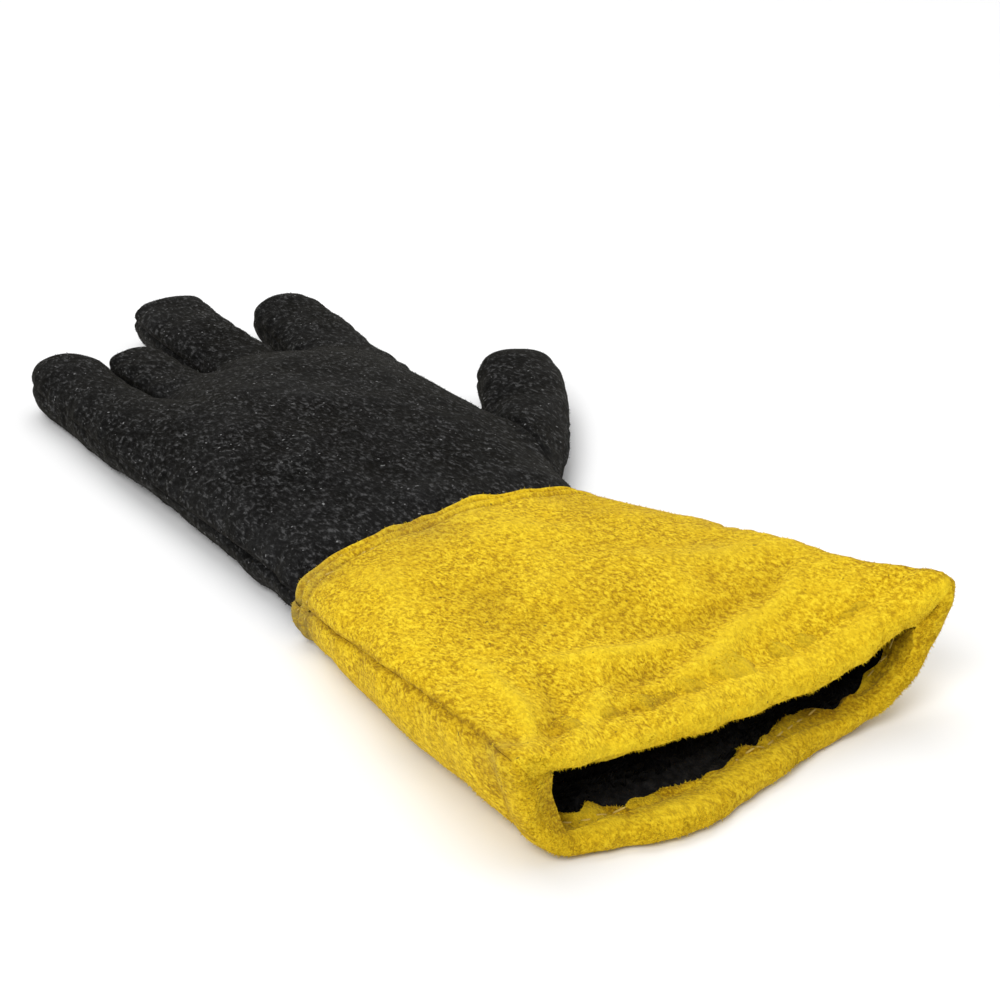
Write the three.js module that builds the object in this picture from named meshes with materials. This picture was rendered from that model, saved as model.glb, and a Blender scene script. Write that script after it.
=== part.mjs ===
// A left-hand welding gauntlet that lies on its palm, hollow from the cuff's mouth to the fingertips.
// The cuff is a back and a palm panel of split suede with a turned hem at the mouth and a turned edge
// at the wrist. The hand is a back and a palm cut with four fingers, and a thumb in two halves that is
// sewn into the palm's side. A fleece lining stands inside the cuff, with its edge under the hem.
// Millimetres. +Y runs from the mouth to the fingertips, +X to the thumb's side, and +Z up.
import * as THREE from "three";

// Cuff
const CUFF_LENGTH = 127; // mouth to wrist edge
const MOUTH_WIDTH = 132; // between the side seams
const MOUTH_LEFT_HEIGHT = 29.5; // left seam over the ground
const MOUTH_RIGHT_HEIGHT = 35; // right seam over the ground
const MOUTH_SAG = 15; // how far the top lip hangs under a line between the seams
const LIP_BOW = 10.5; // how far the palm's lip bows out before the mouth's corners
const LIP_BOW_RUN = 85; // run over which the bows of both lips fade away along the cuff
const HEM_TURN = 14; // depth of the turned hem
const HEM_SLOT = 2.3; // room under the hem for the lining's edge
const WRIST_TURN = 12; // width of the folded wrist edge

// Hand
const HAND_LENGTH = 227; // wrist edge to the middle fingertip
const WRIST_WIDTH = 100;
const WRIST_HEIGHT = 26;
const PALM_WIDTH = 111; // across the knuckles
const PALM_HEIGHT = 28;
const FINGER_HEIGHT = 19.5;
const SEAM_HEIGHT = 10.5; // side seams of the hand over the ground
const HAND_TUCK = 14; // how far the hand reaches under the cuff
const SWELL = 9; // run over which the hand swells out of the cuff
const VALLEY_RUN = 42; // how far the valleys between the fingers run up the hand
const GATHER_RUN = 95; // run over which the panels' width is shared out to the fingers

// Thumb
const THUMB_WIDTH = 30;
const THUMB_REACH = 38; // straight part of its inner side
const THUMB_SPREAD = 27; // degrees between the thumb and +Y
const THUMB_BASE_START = 18; // wrist edge to the near end of its base
const THUMB_BASE_LENGTH = 54;
const THUMB_TOP_RISE = 10; // over the side seam
const THUMB_LOW_DROP = 9; // under the side seam
const THUMB_HOLE_FLARE = 2.4; // how far the hand's side stands out round its base

// Leather, lining and seams
const LEATHER = 1.4;
const FLEECE = 3.5;
const FLEECE_EDGE = 1; // pressed flat under the hem
const LINING_REACH = 36; // past the wrist edge
const GAP = 0.3; // between pieces that meet
const TUCK_EASE = 0.3; // more room where the hand slips into the cuff
const LINING_EASE = 0.8; // more room round the loose lining
const SEAM_DIP = 1.1; // depth of the valley along a side seam
const SEAM_DIP_RUN = 2.4;
const SEAM_OPEN = 0.07; // how much a seam opens inwards, for each millimetre of depth

// Mesh density
const FINGER_COLUMNS = 6;
const THUMB_COLUMNS = 6;
const CURVE_STEPS = 22;
const SEAM_CROWDING = 0.85; // how far the cuff's columns are drawn to its seams

// Cross-sections of the cuff, from the mouth to the wrist.
// at: share of the cuff's length. narrow: share of the way from the mouth's width to the wrist's.
// drop: share of the way from the mouth's seam heights to the wrist's. sag: share of the mouth's sag.
// dome: share of the wrist's rise. left, right: run of the lower corners, as shares of half the mouth.
const CUFF_SECTIONS = [
  { at: 0.0, narrow: 0.0, drop: 0.0, sag: 1.0, dome: 0.0, left: 0.24, right: 0.55 },
  { at: 0.08, narrow: 0.05, drop: 0.05, sag: 0.8, dome: 0.03, left: 0.23, right: 0.48 },
  { at: 0.22, narrow: 0.16, drop: 0.16, sag: 0.42, dome: 0.14, left: 0.21, right: 0.38 },
  { at: 0.42, narrow: 0.33, drop: 0.36, sag: 0.16, dome: 0.4, left: 0.19, right: 0.3 },
  { at: 0.68, narrow: 0.57, drop: 0.64, sag: 0.03, dome: 0.74, left: 0.17, right: 0.22 },
  { at: 1.0, narrow: 1.0, drop: 1.0, sag: 0.0, dome: 1.0, left: 0.14, right: 0.16 },
];

// Cross-sections of the hand, from the wrist to the knuckles.
// at: share of the hand's length. left, right: the side seams, as shares of the palm's width.
// rise: share of the palm's height over the seams. corner: run of the lower corners, as a share of it.
const HAND_SECTIONS = [
  { at: 0.09, left: -0.412, right: 0.468, rise: 0.86, corner: 0.07 },
  { at: 0.21, left: -0.418, right: 0.505, rise: 0.97, corner: 0.075 },
  { at: 0.36, left: -0.423, right: 0.54, rise: 1.0, corner: 0.08 },
  { at: 0.51, left: -0.419, right: 0.577, rise: 0.93, corner: 0.085 },
  { at: 0.7, left: -0.414, right: 0.59, rise: 0.76, corner: 0.09 },
];

// Corners of the finger roots, from the little finger's outer side to the index finger's.
// across: share of the palm's width. along: share of the hand's length.
const FINGER_ROOTS = [
  { across: -0.414, along: 0.55 },
  { across: -0.142, along: 0.623 },
  { across: 0.075, along: 0.68 },
  { across: 0.33, along: 0.672 },
  { across: 0.59, along: 0.585 },
];

// tipAcross, width: shares of the palm's width. tipAlong: share of the hand's length.
// height: share of the finger height. bend: sideways bow of its middle, as a share of its width.
const FINGERS = [
  { name: "little", tipAcross: -0.268, tipAlong: 0.847, width: 0.25, height: 1.0, bend: -0.03 },
  { name: "ring", tipAcross: -0.052, tipAlong: 0.838, width: 0.212, height: 0.8, bend: 0.03 },
  { name: "middle", tipAcross: 0.236, tipAlong: 1.0, width: 0.265, height: 0.88, bend: -0.02 },
  { name: "index", tipAcross: 0.555, tipAlong: 0.908, width: 0.255, height: 0.92, bend: 0.02 },
];

// Soft folds of the cuff's back panel. along: share of the cuff's length. across: share of half its
// width. lean: degrees from +X. long, wide: shares of the mouth's width. rise: share of the mouth's sag.
const CUFF_FOLDS = [
  { along: 0.2, across: -0.62, lean: 62, long: 0.2, wide: 0.05, rise: 0.1 },
  { along: 0.3, across: -0.2, lean: -12, long: 0.22, wide: 0.055, rise: -0.08 },
  { along: 0.42, across: 0.25, lean: 14, long: 0.26, wide: 0.06, rise: 0.08 },
  { along: 0.62, across: -0.5, lean: 40, long: 0.16, wide: 0.05, rise: -0.07 },
  { along: 0.7, across: 0.35, lean: -25, long: 0.22, wide: 0.07, rise: -0.08 },
  { along: 0.86, across: -0.15, lean: 5, long: 0.24, wide: 0.06, rise: 0.06 },
];

// Bows of the mouth's two lips. across, wide: shares of half the cuff's width. out: share of the lip bow.
const LIP_BOWS = {
  back: [{ across: 0.35, wide: 0.7, out: -0.5 }],
  palm: [
    { across: -0.32, wide: 0.42, out: 1 },
    { across: 0.62, wide: 0.26, out: -0.25 },
  ],
};

const SAG_PLACE = 0.71; // where the top lip hangs lowest, as a share of its width
const DOME_POWER = 2.6;
const CORNER_POWER = 2.2;
const FINGER_POWER = 2.3;
const SOLE_POWER = 3.2; // rounds the underside of a finger
const SOLE_FLAT = 1.05; // how far its roundness is cut off by the ground
const TIP_POWER = 2.3;
const WRIST_LEFT_SHARE = 0.493; // of the wrist's width, to the left of the mouth's middle
const MOUTH_HALF = MOUTH_WIDTH / 2;
const PALM_RISE = PALM_HEIGHT - SEAM_HEIGHT;
const WRIST_RISE = WRIST_HEIGHT - SEAM_HEIGHT;
const KNUCKLE_COLUMNS = FINGER_COLUMNS * FINGERS.length;
const FOLD_RADIUS = LEATHER + HEM_SLOT / 2;
const TUCK_DEPTH = 2 * LEATHER + GAP + TUCK_EASE;
const SOLE_DROP = SEAM_HEIGHT - GAP / 2;
const WALL_SHARES = [0.11, 0.2, 0.3, 0.42, 0.55, 0.68, 0.8, 0.9]; // rows along the cuff

const mix = (a, b, share) => a + (b - a) * share;
const clamp01 = (value) => Math.min(1, Math.max(0, value));
const ease = (value) => THREE.MathUtils.smoothstep(value, 0, 1);
const arch = (share, power) => (1 - Math.abs(share) ** power) ** (1 / power);

// Stations of the whole glove in millimetres, which the section curves are worked out from
function cuffStation(row) {
  const wristLeft = -WRIST_LEFT_SHARE * WRIST_WIDTH;
  return {
    y: row.at * CUFF_LENGTH,
    left: mix(-MOUTH_HALF, wristLeft, row.narrow),
    right: mix(MOUTH_HALF, wristLeft + WRIST_WIDTH, row.narrow),
    seamLeft: mix(MOUTH_LEFT_HEIGHT, SEAM_HEIGHT, row.drop),
    seamRight: mix(MOUTH_RIGHT_HEIGHT, SEAM_HEIGHT, row.drop),
    sag: row.sag * MOUTH_SAG,
    dome: row.dome * WRIST_RISE,
    cornerLeft: row.left * MOUTH_HALF,
    cornerRight: row.right * MOUTH_HALF,
  };
}

function handStation(row) {
  return {
    y: CUFF_LENGTH + row.at * HAND_LENGTH,
    left: row.left * PALM_WIDTH,
    right: row.right * PALM_WIDTH,
    seamLeft: SEAM_HEIGHT,
    seamRight: SEAM_HEIGHT,
    sag: 0,
    dome: row.rise * PALM_RISE,
    cornerLeft: row.corner * PALM_WIDTH,
    cornerRight: row.corner * PALM_WIDTH,
  };
}

const STATIONS = [...CUFF_SECTIONS.map(cuffStation), ...HAND_SECTIONS.map(handStation)];

// A smooth curve through one column of the stations
function sizeAt(column, y) {
  const last = STATIONS.length - 1;
  const next = STATIONS.findIndex((station) => station.y > y);
  const i = next < 0 ? last - 1 : Math.max(0, next - 1);
  const slope = (k) => {
    const before = STATIONS[Math.max(k - 1, 0)];
    const after = STATIONS[Math.min(k + 1, last)];
    return (after[column] - before[column]) / (after.y - before.y);
  };
  const [a, b] = [STATIONS[i], STATIONS[i + 1]];
  const span = b.y - a.y;
  const t = clamp01((y - a.y) / span);
  const swing = (1 - t) * t * span * ((1 - t) * slope(i) - t * slope(i + 1));
  const chord = (b[column] - a[column]) / span;
  return mix(a[column], b[column], t) + swing - (1 - t) * t * (1 - 2 * t) * span * chord;
}

function sagShape(share) {
  if (share > SAG_PLACE) {
    return Math.sin((Math.PI / 2) * ((1 - share) / (1 - SAG_PLACE)));
  }
  const [soft, power] = [0.03, 0.6];
  const start = soft ** power;
  return ((share / SAG_PLACE + soft) ** power - start) / ((1 + soft) ** power - start);
}

function foldRise(x, y, half) {
  let rise = 0;
  for (const fold of CUFF_FOLDS) {
    const lean = THREE.MathUtils.degToRad(fold.lean);
    const [dx, dy] = [x - fold.across * half, y - fold.along * CUFF_LENGTH];
    const lengthwise = (dx * Math.cos(lean) + dy * Math.sin(lean)) / (fold.long * MOUTH_WIDTH);
    const sideways = (dy * Math.cos(lean) - dx * Math.sin(lean)) / (fold.wide * MOUTH_WIDTH);
    rise += fold.rise * MOUTH_SAG * Math.exp(-(lengthwise ** 2) - sideways ** 2);
  }
  return rise;
}

// The section's upper and lower curves, both from the left seam to the right one
function upperCurve(size, y) {
  const [middle, half] = [(size.left + size.right) / 2, (size.right - size.left) / 2];
  const points = [];
  for (let i = 0; i <= 2 * CURVE_STEPS; i += 1) {
    const across = -Math.cos((Math.PI * i) / (2 * CURVE_STEPS));
    const share = (across + 1) / 2;
    const x = middle + half * across;
    const base = mix(size.seamLeft, size.seamRight, share) - size.sag * sagShape(share);
    const fold = foldRise(x, y, half) * (1 - across ** 4);
    points.push(new THREE.Vector2(x, base + size.dome * arch(across, DOME_POWER) + fold));
  }
  return points;
}

function lowerCurve(size) {
  const corner = (side, seam, run, angle) => {
    const across = Math.cos(angle) ** (2 / CORNER_POWER);
    const down = Math.sin(angle) ** (2 / CORNER_POWER);
    return new THREE.Vector2(side + run * (1 - across), seam * (1 - down));
  };
  const points = [];
  for (let i = 0; i <= CURVE_STEPS; i += 1) {
    const angle = (Math.PI / 2) * (i / CURVE_STEPS);
    points.push(corner(size.left, size.seamLeft, size.cornerLeft, angle));
  }
  for (let i = CURVE_STEPS; i >= 0; i -= 1) {
    const angle = (Math.PI / 2) * (i / CURVE_STEPS);
    points.push(corner(size.right, size.seamRight, -size.cornerRight, angle));
  }
  return points;
}

function measured(points) {
  const lengths = [0];
  for (let i = 1; i < points.length; i += 1) {
    lengths.push(lengths[i - 1] + points[i].distanceTo(points[i - 1]));
  }
  return { points, lengths, total: lengths[lengths.length - 1] };
}

function pointOn(curve, arc) {
  const at = Math.min(curve.total, Math.max(0, arc));
  const i = Math.max(1, curve.lengths.findIndex((length) => length >= at));
  const share = (at - curve.lengths[i - 1]) / (curve.lengths[i] - curve.lengths[i - 1]);
  return curve.points[i - 1].clone().lerp(curve.points[i], share);
}

// Both curves of a section with the seam valleys pressed in, and half the angle inside each seam
const sections = new Map();
function sectionAt(y) {
  if (sections.has(y)) return sections.get(y);
  const columns = Object.keys(STATIONS[0]).filter((column) => column !== "y");
  const size = Object.fromEntries(columns.map((column) => [column, sizeAt(column, y)]));
  const curves = { back: measured(upperCurve(size, y)), palm: measured(lowerCurve(size)) };
  const corners = ["left", "right"].map((side) => {
    const place = (curve, arc) => pointOn(curve, side === "left" ? arc : curve.total - arc);
    const seam = place(curves.back, 0);
    const [back, palm] = [curves.back, curves.palm].map((curve) => place(curve, 2).sub(seam).normalize());
    const inward = back.clone().add(palm);
    const facing = new THREE.Vector2(side === "left" ? 1 : -1, 0);
    if (inward.length() < 0.6) inward.lerp(facing, 1 - inward.length());
    const halfAngle = Math.acos(THREE.MathUtils.clamp(back.dot(palm), -1, 1)) / 2;
    return { inward: inward.normalize(), halfAngle };
  });
  for (const half of ["back", "palm"]) {
    const curve = curves[half];
    curve.points.forEach((point, i) => {
      const fromLeft = SEAM_DIP * Math.exp(-curve.lengths[i] / SEAM_DIP_RUN);
      const fromRight = SEAM_DIP * Math.exp(-(curve.total - curve.lengths[i]) / SEAM_DIP_RUN);
      point.addScaledVector(corners[0].inward, fromLeft);
      point.addScaledVector(corners[1].inward, fromRight);
      if (half === "palm") point.y = Math.max(0, point.y);
    });
    curves[half] = measured(curve.points);
  }
  const section = { ...curves, corners, size };
  sections.set(y, section);
  return section;
}

// A point of a layer that lies depth under the outer skin, at a share of the way from seam to seam
function layerPoint(half, share, y, depth) {
  const section = sectionAt(y);
  const curve = section[half];
  const [start, end] = section.corners.map(({ halfAngle }) => {
    const mitre = Math.max(0, depth / Math.tan(halfAngle));
    return mitre + (GAP / 2 + SEAM_OPEN * depth) / Math.sin(halfAngle);
  });
  const arc = mix(start, curve.total - end, share);
  const reach = 1.2;
  const along = pointOn(curve, arc + reach).sub(pointOn(curve, arc - reach)).normalize();
  const side = half === "back" ? 1 : -1;
  const point = pointOn(curve, arc);
  return new THREE.Vector3(point.x + along.y * depth * side, y, point.y - along.x * depth * side);
}

// How far a point of the cuff stands out before a straight mouth. It is nothing at the side seams.
function lipBow(half, x, y) {
  const { left, right } = sectionAt(y).size;
  const place = THREE.MathUtils.clamp((2 * x - left - right) / (right - left), -1, 1);
  const bows = LIP_BOWS[half].map(({ across: middle, wide, out }) => {
    return out * Math.exp(-(((place - middle) / wide) ** 2));
  });
  const total = bows.reduce((sum, bow) => sum + bow, 0);
  return LIP_BOW * total * (1 - place ** 8) * (1 - ease(y / LIP_BOW_RUN));
}

// A closed body from its corners and triangles, turned so that its faces point out
function closedBody(corners, triangles) {
  let volume = 0;
  for (const [a, b, c] of triangles) {
    volume += corners[a].dot(corners[b].clone().cross(corners[c]));
  }
  const facing = volume < 0 ? triangles.map(([a, b, c]) => [a, c, b]) : triangles;
  const geometry = new THREE.BufferGeometry();
  geometry.setAttribute(
    "position",
    new THREE.Float32BufferAttribute(corners.flatMap((corner) => corner.toArray()), 3),
  );
  geometry.setIndex(facing.flat());
  geometry.computeVertexNormals();
  return geometry;
}

const quad = (a, b, c, d) => [[a, b, c], [a, c, d]];

// A closed outline carried across a panel's columns, or round a tube. A panel's ends are closed by a
// strip between the outline's first half and its second half, which runs back beside it.
function carried(columns, isTube) {
  const corners = columns.flat();
  const ring = columns[0].length;
  const triangles = [];
  const steps = isTube ? columns.length : columns.length - 1;
  for (let c = 0; c < steps; c += 1) {
    const next = (c + 1) % columns.length;
    for (let k = 0; k < ring; k += 1) {
      const up = (k + 1) % ring;
      triangles.push(...quad(c * ring + k, next * ring + k, next * ring + up, c * ring + up));
    }
  }
  const lastColumn = (columns.length - 1) * ring;
  for (let k = 0; !isTube && k < ring / 2 - 1; k += 1) {
    const strip = [k, k + 1, ring - 2 - k, ring - 1 - k];
    triangles.push(...quad(...strip), ...quad(...strip.map((corner) => lastColumn + corner).reverse()));
  }
  return closedBody(corners, triangles);
}

// Leather of one thickness behind a surface: its skin, the inside and a rim along every free edge,
// which is split along its shorter diagonals so that the rims of two pieces that meet match
function thickened(skin, normals, triangles) {
  const inside = skin.map((point, i) => point.clone().addScaledVector(normals[i], -LEATHER));
  const shift = skin.length;
  const all = [...triangles, ...triangles.map(([a, b, c]) => [c + shift, b + shift, a + shift])];
  const edges = new Set(triangles.flatMap(([a, b, c]) => [`${a} ${b}`, `${b} ${c}`, `${c} ${a}`]));
  for (const edge of edges) {
    const [a, b] = edge.split(" ").map(Number);
    if (edges.has(`${b} ${a}`)) continue;
    const toInside = skin[b].distanceTo(inside[a]) < skin[a].distanceTo(inside[b]);
    if (toInside) all.push([b, a, a + shift], [b, a + shift, b + shift]);
    else all.push([b, a, b + shift], [a, a + shift, b + shift]);
  }
  return closedBody([...skin, ...inside], all);
}

function skinNormals(skin, triangles) {
  const normals = skin.map(() => new THREE.Vector3());
  for (const [a, b, c] of triangles) {
    const face = skin[b].clone().sub(skin[a]).cross(skin[c].clone().sub(skin[a]));
    for (const corner of [a, b, c]) normals[corner].add(face);
  }
  return normals.map((normal) => normal.normalize());
}

// The back and palm halves of a hollow form share one layout. Where their seams meet, they share
// the direction of the wall too.
function sewnHalves(layout, place) {
  const halves = ["back", "palm"].map((half) => {
    const skin = layout.spots.map((spot) => place(half, spot));
    const turned = layout.triangles.map(([a, b, c]) => (half === "back" ? [a, b, c] : [a, c, b]));
    return { skin, triangles: turned, normals: skinNormals(skin, turned) };
  });
  const [back, palm] = halves;
  back.skin.forEach((point, i) => {
    if (point.distanceTo(palm.skin[i]) > 4 * GAP) return;
    const shared = back.normals[i].clone().add(palm.normals[i]);
    if (layout.spots[i].isRoot) shared.set(0, 1, 0);
    shared.setZ(0).normalize();
    back.normals[i].copy(shared);
    palm.normals[i].copy(shared);
  });
  return { back, palm };
}

const seamLift = (half) => (half === "back" ? GAP / 2 : -GAP / 2);

// Rise of a finger's or thumb's skin over its seams, at a share of the way from its middle to a seam
function tubeRise(half, local, top) {
  if (half === "back") return top * arch(local, FINGER_POWER);
  return -SOLE_DROP * Math.min(1, SOLE_FLAT * arch(local, SOLE_POWER));
}

const across = (column, columns) => -Math.cos((Math.PI * column) / columns);
const sidePinch = (column, columns) => {
  const fromSeam = Math.min(column, columns - column);
  return SEAM_DIP * (fromSeam === 0 ? 1 : fromSeam === 1 ? 0.35 : 0);
};

// Rows along a finger or thumb: how far it has come and what is left of its section. The last row is
// the tip's single point.
function tubeRows(length, tip) {
  const straight = [0.1, 0.3, 0.52, 0.76, 1].map((share) => ({ forward: share * (length - tip), scale: 1 }));
  const round = [0.42, 0.72, 0.9].map((share) => {
    return { forward: length - tip + share * tip, scale: arch(share, TIP_POWER) };
  });
  return [...straight, ...round, { forward: length, scale: 0 }];
}

// Hand
const rootPoint = ({ across: share, along }) => {
  return new THREE.Vector2(share * PALM_WIDTH, CUFF_LENGTH + along * HAND_LENGTH);
};
const ROOTS = FINGER_ROOTS.map(rootPoint);
const THUMB_START = CUFF_LENGTH + THUMB_BASE_START;
const THUMB_END = THUMB_START + THUMB_BASE_LENGTH;

function thumbHole(y) {
  const share = (y - THUMB_START) / THUMB_BASE_LENGTH;
  return share <= 0 || share >= 1 ? 0 : Math.sin(Math.PI * share) ** 0.7;
}

const thumbRow = (i) => {
  return mix(THUMB_START, THUMB_END, (1 + across(i, THUMB_COLUMNS)) / 2);
};

// Rows of the hand before the fingers: under the cuff, along the thumb's base and on to the roots
const NEAR_ROWS = [
  CUFF_LENGTH - HAND_TUCK,
  CUFF_LENGTH - HAND_TUCK / 2,
  CUFF_LENGTH,
  CUFF_LENGTH + SWELL,
  ...Array.from({ length: THUMB_COLUMNS + 1 }, (_, i) => thumbRow(i)),
];
const FAR_SHARES = [0.24, 0.46, 0.65, 0.8, 0.91, 1];
const HAND_ROWS = NEAR_ROWS.length + FAR_SHARES.length;

function fingerLayout(column) {
  const finger = Math.min(FINGERS.length - 1, Math.floor(column / FINGER_COLUMNS));
  const local = across(column - finger * FINGER_COLUMNS, FINGER_COLUMNS);
  const root = ROOTS[finger].clone().lerp(ROOTS[finger + 1], (local + 1) / 2);
  return { finger, local, root };
}

function skinDepth(y) {
  return TUCK_DEPTH * (1 - ease((y - CUFF_LENGTH) / SWELL));
}

function palmPlace(half, row, column) {
  const { finger, local, root } = fingerLayout(column);
  const far = row - NEAR_ROWS.length;
  const y = far < 0 ? NEAR_ROWS[row] : mix(THUMB_END, root.y, FAR_SHARES[far]);
  const [first, last] = [ROOTS[0].x, ROOTS[ROOTS.length - 1].x];
  const share = (root.x - first) / (last - first);
  const point = layerPoint(half, share, y, skinDepth(y));
  const toRoot = root.y - y;
  const gathered = ease(1 - toRoot / GATHER_RUN);
  const valley = clamp01(1 - toRoot / VALLEY_RUN) ** 2;
  const rise = FINGERS[finger].height * FINGER_HEIGHT - SEAM_HEIGHT;
  const bump = SEAM_HEIGHT + seamLift(half) + tubeRise(half, local, rise);
  point.x = mix(point.x, root.x, gathered);
  point.z = mix(point.z, bump, valley);
  const opened = thumbHole(y) * clamp01(share * 3 - 2) ** 2;
  const edge = half === "back" ? THUMB_TOP_RISE : -THUMB_LOW_DROP;
  const rim = SEAM_HEIGHT + edge;
  point.z = mix(point.z, half === "back" ? Math.max(point.z, rim) : Math.min(point.z, rim), opened);
  point.x += THUMB_HOLE_FLARE * Math.sqrt(thumbHole(y)) * Math.exp(column - KNUCKLE_COLUMNS);
  return point;
}

function fingerPlace(half, finger, row, column) {
  const { tipAcross, tipAlong, width, height, bend } = FINGERS[finger];
  const [start, end] = [ROOTS[finger], ROOTS[finger + 1]];
  const middle = start.clone().add(end).multiplyScalar(0.5);
  const tip = new THREE.Vector2(tipAcross * PALM_WIDTH, CUFF_LENGTH + tipAlong * HAND_LENGTH);
  const length = tip.distanceTo(middle);
  const forward = tip.clone().sub(middle).normalize();
  const sideways = new THREE.Vector2(forward.y, -forward.x);
  const halfWidth = (width * PALM_WIDTH) / 2;
  const { forward: come, scale } = tubeRows(length, halfWidth)[row];
  const local = across(column, FINGER_COLUMNS);
  const pinched = Math.sign(local) * Math.max(0, Math.abs(local) * halfWidth - sidePinch(column, FINGER_COLUMNS));
  const bow = bend * width * PALM_WIDTH * Math.sin((Math.PI * come) / length);
  const loose = middle.clone().addScaledVector(forward, come).addScaledVector(sideways, pinched * scale + bow);
  const root = start.clone().lerp(end, (local + 1) / 2).addScaledVector(forward, come);
  const place = root.lerp(loose, ease(0.25 + (0.75 * come) / (0.45 * length)));
  const rise = tubeRise(half, local, height * FINGER_HEIGHT - SEAM_HEIGHT) * scale;
  return new THREE.Vector3(place.x, place.y, SEAM_HEIGHT + seamLift(half) + rise);
}

function handLayout() {
  const spots = [];
  const triangles = [];
  const grid = Array.from({ length: HAND_ROWS }, (_, row) => {
    return Array.from({ length: KNUCKLE_COLUMNS + 1 }, (__, column) => {
      const isInner = column > 0 && column < KNUCKLE_COLUMNS;
      const isRoot = row === HAND_ROWS - 1 && isInner && column % FINGER_COLUMNS === 0;
      return spots.push({ row, column, isRoot }) - 1;
    });
  });
  for (let row = 0; row < HAND_ROWS - 1; row += 1) {
    for (let c = 0; c < KNUCKLE_COLUMNS; c += 1) {
      triangles.push(...quad(grid[row][c], grid[row][c + 1], grid[row + 1][c + 1], grid[row + 1][c]));
    }
  }
  const rows = tubeRows(1, 0).length;
  FINGERS.forEach((_, finger) => {
    let before = grid[HAND_ROWS - 1].slice(finger * FINGER_COLUMNS, (finger + 1) * FINGER_COLUMNS + 1);
    for (let row = 0; row < rows; row += 1) {
      const isTip = row === rows - 1;
      const tip = isTip ? spots.push({ finger, row, column: FINGER_COLUMNS / 2 }) - 1 : -1;
      const now = before.map((__, column) => (isTip ? tip : spots.push({ finger, row, column }) - 1));
      triangles.push(...stitched(before, now, isTip));
      before = now;
    }
  });
  return { spots, triangles };
}

function stitched(before, now, isTip) {
  const triangles = [];
  for (let c = 0; c < before.length - 1; c += 1) {
    if (isTip) triangles.push([before[c], before[c + 1], now[c]]);
    else triangles.push(...quad(before[c], before[c + 1], now[c + 1], now[c]));
  }
  return triangles;
}

function hand() {
  const place = (half, spot) => {
    if (spot.finger === undefined) return palmPlace(half, spot.row, spot.column);
    return fingerPlace(half, spot.finger, spot.row, spot.column);
  };
  return sewnHalves(handLayout(), place);
}

// Thumb. Its first row follows the edge of the hole in the hand's side.
function thumbOutline(share) {
  const spread = THREE.MathUtils.degToRad(THUMB_SPREAD);
  const forward = new THREE.Vector2(Math.sin(spread), Math.cos(spread));
  const outward = new THREE.Vector2(forward.y, -forward.x);
  const innerStart = new THREE.Vector2(sizeAt("right", THUMB_END), THUMB_END);
  const outerStart = new THREE.Vector2(sizeAt("right", THUMB_START), THUMB_START);
  const innerEnd = innerStart.clone().addScaledVector(forward, THUMB_REACH).addScaledVector(outward, 2);
  const outerEnd = innerEnd.clone().addScaledVector(outward, THUMB_WIDTH);
  const ball = outerEnd.clone().addScaledVector(forward, -1.2 * THUMB_REACH);
  const inner = innerStart.clone().lerp(innerEnd, share);
  const outer = new THREE.QuadraticBezierCurve(outerStart, ball, outerEnd).getPoint(share);
  return { inner, outer, forward };
}

function thumb(handHalves) {
  const rows = tubeRows(THUMB_REACH + THUMB_WIDTH / 2, THUMB_WIDTH / 2);
  const spots = [];
  const triangles = [];
  let before = Array.from({ length: THUMB_COLUMNS + 1 }, (_, column) => spots.push({ row: -1, column }) - 1);
  const base = before;
  rows.forEach((_, row) => {
    const isTip = row === rows.length - 1;
    const tip = isTip ? spots.push({ row, column: THUMB_COLUMNS / 2 }) - 1 : -1;
    const now = before.map((__, column) => (isTip ? tip : spots.push({ row, column }) - 1));
    triangles.push(...stitched(now, before, false).filter(([a, b, c]) => a !== b && b !== c && a !== c));
    before = now;
  });
  const firstBaseRow = NEAR_ROWS.length - THUMB_COLUMNS - 1;
  const rimSpot = (column) => (firstBaseRow + column) * (KNUCKLE_COLUMNS + 1) + KNUCKLE_COLUMNS;
  const freePlace = (half, come, scale, column) => {
    const { inner, outer, forward } = thumbOutline(clamp01(come / THUMB_REACH));
    const local = across(column, THUMB_COLUMNS);
    const middle = inner.clone().add(outer).multiplyScalar(0.5);
    const toInner = inner.clone().sub(middle);
    const shrink = 1 - sidePinch(column, THUMB_COLUMNS) / toInner.length();
    const flat = middle.addScaledVector(toInner, local * shrink * scale);
    flat.addScaledVector(forward, Math.max(0, come - THUMB_REACH));
    const rise = tubeRise(half, local, THUMB_TOP_RISE) * scale;
    return new THREE.Vector3(flat.x, flat.y, SEAM_HEIGHT + seamLift(half) + rise);
  };
  const place = (half, { row, column }) => {
    const local = across(column, THUMB_COLUMNS);
    const lower = column % THUMB_COLUMNS === 0 ? 0 : -2 * seamLift(half) * Math.abs(local);
    const apart = new THREE.Vector3(GAP, -2 * GAP * local, lower);
    const start = handHalves[half].skin[rimSpot(column)].clone().add(apart);
    if (row < 0) return start;
    const { forward: come, scale } = rows[row];
    const fromBase = start.sub(freePlace(half, 0, 1, column));
    const left = 1 - ease(come / THUMB_REACH);
    return freePlace(half, come, scale, column).addScaledVector(fromBase, left);
  };
  const halves = sewnHalves({ spots, triangles }, place);
  for (const half of ["back", "palm"]) {
    base.forEach((spot, column) => {
      halves[half].normals[spot].copy(handHalves[half].normals[rimSpot(column)]);
    });
    halves[half].normals[base[THUMB_COLUMNS]].set(0, 1, 0);
  }
  return halves;
}

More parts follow.
